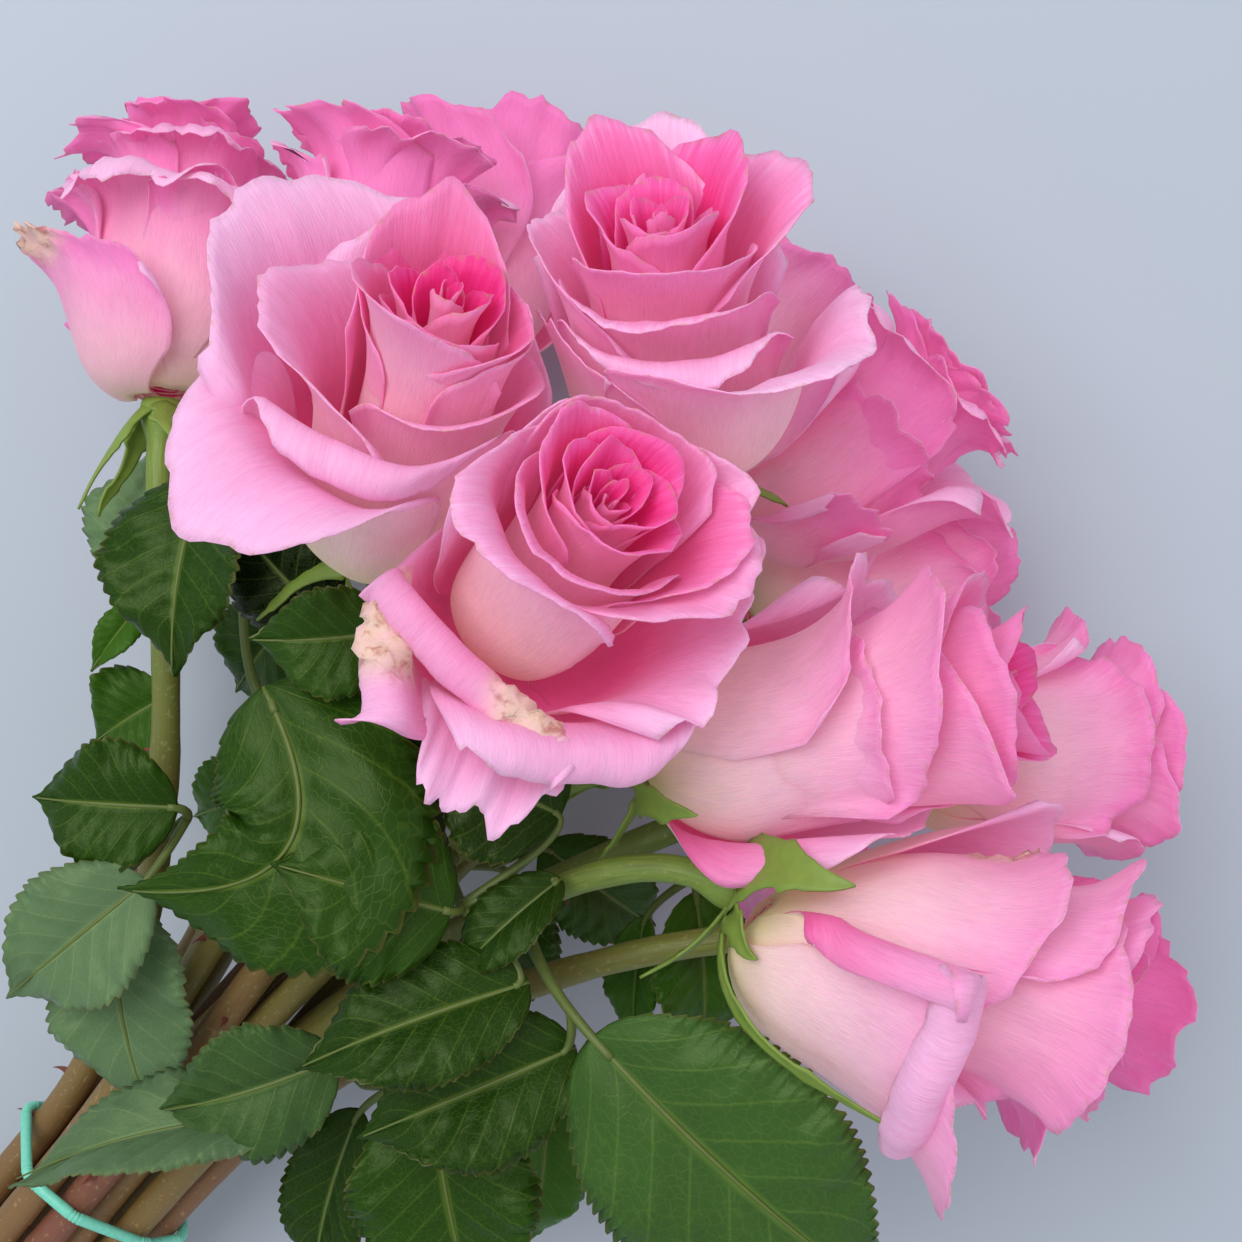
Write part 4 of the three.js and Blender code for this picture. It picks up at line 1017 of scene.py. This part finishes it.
def leaflet_offset(leaflet, along, side, teeth):
    """How far each point lies from the midrib, out to the serrated edge."""
    _, _, width, change = leaflet
    half = width / 2 * np.sin(math.pi * along**0.78) ** (0.6 + 0.75 * along)
    tooth = (along * teeth) % 1.0
    saw = np.where(tooth < 0.8, tooth / 0.8, (1 - tooth) / 0.2)
    deep = 0.026 * width * (0.4 + np.sin(math.pi * along)) * (saw - 0.35)
    edge = np.maximum(half + deep * (along < 0.985), 0.15)
    reach = np.abs(side)
    offset = side * (half * (1 - reach**6) + edge * reach**6)
    if "via" in change:
        offset = offset * np.where(side > 0, 1 - INNER_BEND * np.sin(math.pi * along), 1)
    return np.where(half < 0.2, side * 0.15, offset)


def leaflet_lift(length, width, along, side, seed):
    """How far each point lies above the plain leaflet: quilted between its veins, wavy and drooping."""
    reach = np.abs(side)
    ribs = np.cos(2 * math.pi * (SIDE_VEINS * along - VEIN_SLANT * reach - 0.5))
    quilt = 0.016 * width * ribs * reach * (1 - reach) * 4 * np.sin(math.pi * along)
    wavy = waves(0.5 * along + 0.25 * side, seed, 1.6) + 0.5 * waves(along, seed + 7, 2.4) * np.sign(side)
    droop = -0.09 * width * reach**3 + 0.085 * width * reach**2 * wavy
    droop = droop - 0.12 * length * smooth(along, 0.7, 1.05)
    groove = -0.02 * width * (1 - smooth(reach, 0, 0.12))
    return (quilt + droop + groove) * np.sin(math.pi * np.clip(along, 0.02, 0.98)) ** 0.5


def add_leaflet(skin, leaflet, seed):
    """A leaflet's blade, and the midrib that stands out under it."""
    _, _, width, change = leaflet
    length = midrib_of(leaflet, np.array(0.5))[2]
    teeth = max(round(length / TOOTH_PITCH), 5)
    along = np.linspace(0, 1, 6 * teeth + 1)[:, None]
    side = np.linspace(-1, 1, 15)[None, :]
    offset = leaflet_offset(leaflet, along, side, teeth)
    lift = leaflet_lift(length, width, along, side, seed)
    points = leaflet_points(leaflet, along + 0 * side, offset, lift)
    tone = change.get("tone", 0.3) + 0.1 * math.sin(seed * 2.4)
    # pale: the underside's grey-green shown on top, partly real underside and partly painted sky sheen.
    values = {"along": along, "side": side, "tone": tone, "pale": change.get("pale", 0.0)}
    skin.sheet(points, LEAF_THICKNESS, **values)
    rib = leaflet_points(leaflet, np.linspace(0, 0.96, 30), np.zeros(30), np.full(30, -0.35))
    skin.tube(rib, 0.7 - 0.5 * np.linspace(0, 1, 30), 8, slot=1)


def foot_of(leaflet):
    """Where a leaflet's stalk meets it, and in which direction."""
    foot, inside = (leaflet_points(leaflet, np.array([place]), np.zeros(1))[0] for place in (0.06, 0.12))
    return foot, unit(inside - foot)


def make_leaf(name, stem, at, leaflets):
    """A compound leaf: its stalk from the stem to the end leaflet, and the forks to the others."""
    skin = Skin()
    rose = ROSES[stem]
    foot, into = foot_of(leaflets[0])
    stem_point = stem_line(rose, at)[0]
    tangent = unit(stem_line(rose, at + 0.02)[0] - stem_point)
    off = foot - stem_point
    off = unit(off - (off @ tangent) * tangent)
    start = stem_point + 0.8 * stem_radius(at) * off
    reach = np.linalg.norm(foot - start)
    control = [start, start + 0.35 * reach * off, foot - 0.35 * reach * into, foot]
    run = np.linspace(0, 1, 24)
    skin.tube(bezier(control, run), STALK_RADIUS * (1 - 0.35 * run), 10, slot=1)
    skin.tube(bezier(control, np.linspace(0, 0.12, 6)), STALK_FOOT, 10, slot=1)
    fork = bezier(control, 0.66)[0]
    for leaflet in leaflets[1:]:
        foot, into = foot_of(leaflet)
        span = np.linalg.norm(foot - fork)
        line = bezier([fork, foot - 0.3 * span * into, foot], np.linspace(0, 1, 14))
        skin.tube(line, np.linspace(1.15, 0.85, 14), 8, slot=1)
    for index, leaflet in enumerate(leaflets):
        add_leaflet(skin, leaflet, 100 * len(name) + index)
    return skin.piece(f"leaf_{name}_blades", f"leaf_{name}", [LEAF, RACHIS])


# ---- the tie ---------------------------------------------------------------------------------------------

TIE_ROWS = 240
TIE_SIDES = 12


def make_tie():
    """The elastic cord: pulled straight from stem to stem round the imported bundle."""
    skin = Skin()
    reach = STEM_RADIUS + CLEARANCE + TIE_RADIUS
    places = np.array([rose.place for rose in ROSES.values()])
    angle = np.linspace(0, 2 * math.pi, TIE_ROWS, endpoint=False)
    outward = np.cos(angle)[:, None] * ACROSS + np.sin(angle)[:, None] * ABOVE
    furthest = places[np.argmax(outward @ places.T, axis=1)]
    ring = TIE_POINT + furthest + outward * reach
    turn = np.linspace(0, 2 * math.pi, TIE_SIDES, endpoint=False)[None, :, None]
    ridges = 1 + 0.08 * np.sin(40 * angle)[:, None, None]
    section = np.cos(turn) * outward[:, None, :] - 1.05 * np.sin(turn) * ALONG
    tube = ring[:, None, :] + TIE_RADIUS * ridges * section
    quads = rows_of_quads(len(angle) + 1, TIE_SIDES, wrap=True) % (len(angle) * TIE_SIDES)
    skin.add(tube, quads)
    return skin.piece("tie_cord", "elastic_tie", [ELASTIC])


# ---- floor, light and camera -----------------------------------------------------------------------------


def make_floor():
    mesh = bpy.data.meshes.new("floor")
    half = FLOOR_SIZE / 2
    corners = [(-half, -half, 0), (half, -half, 0), (half, half, 0), (-half, half, 0)]
    mesh.from_pydata(corners, [], [(0, 1, 2, 3)])
    floor = bpy.data.objects.new("floor", mesh)
    mesh.materials.append(Nodes("pale_floor").set(Base_Color=colour("#bec8d2"), Roughness=0.9))
    bpy.context.scene.collection.objects.link(floor)


def add_area(name, place, size, power):
    """A soft square light at a place in the view, aimed at the bunch."""
    light = bpy.data.lights.new(name, "AREA")
    light.size, light.energy = size, power
    lamp = bpy.data.objects.new(name, light)
    lamp.location = stand = to_frame(np.array(place, float))
    aim = np.array(LIT_POINT) - stand
    lamp.rotation_mode = "QUATERNION"
    lamp.rotation_quaternion = Vector(aim).to_track_quat("-Z", "Y")
    bpy.context.scene.collection.objects.link(lamp)


def make_sky():
    world = bpy.data.worlds.new("studio")
    bpy.context.scene.world = world
    world.use_nodes = True
    sky = world.node_tree.nodes["Background"]
    sky.inputs["Color"].default_value = colour("#e6eaf2")
    sky.inputs["Strength"].default_value = SKY_STRENGTH


def make_camera():
    """Looks straight down on the middle of the view, turned so that the view's y is up."""
    camera = bpy.data.objects.new("camera", bpy.data.cameras.new("camera"))
    camera.data.sensor_width = CAMERA_SENSOR
    camera.data.lens = CAMERA_LENS
    middle = to_frame(np.zeros(3))
    camera.location = (middle[0], middle[1], CAMERA_HEIGHT)
    camera.rotation_euler = (0, 0, -HEADING)
    bpy.context.scene.collection.objects.link(camera)
    bpy.context.scene.camera = camera


make_camera()
make_floor()
for rose in ROSES.values():
    make_bloom(rose)
    make_stem(rose)
for leaf in LEAVES:
    make_leaf(*leaf)
make_tie()
for name, light in LIGHTS.items():
    add_area(name, *light)
make_sky()
bpy.context.scene.view_settings.view_transform = "Standard"
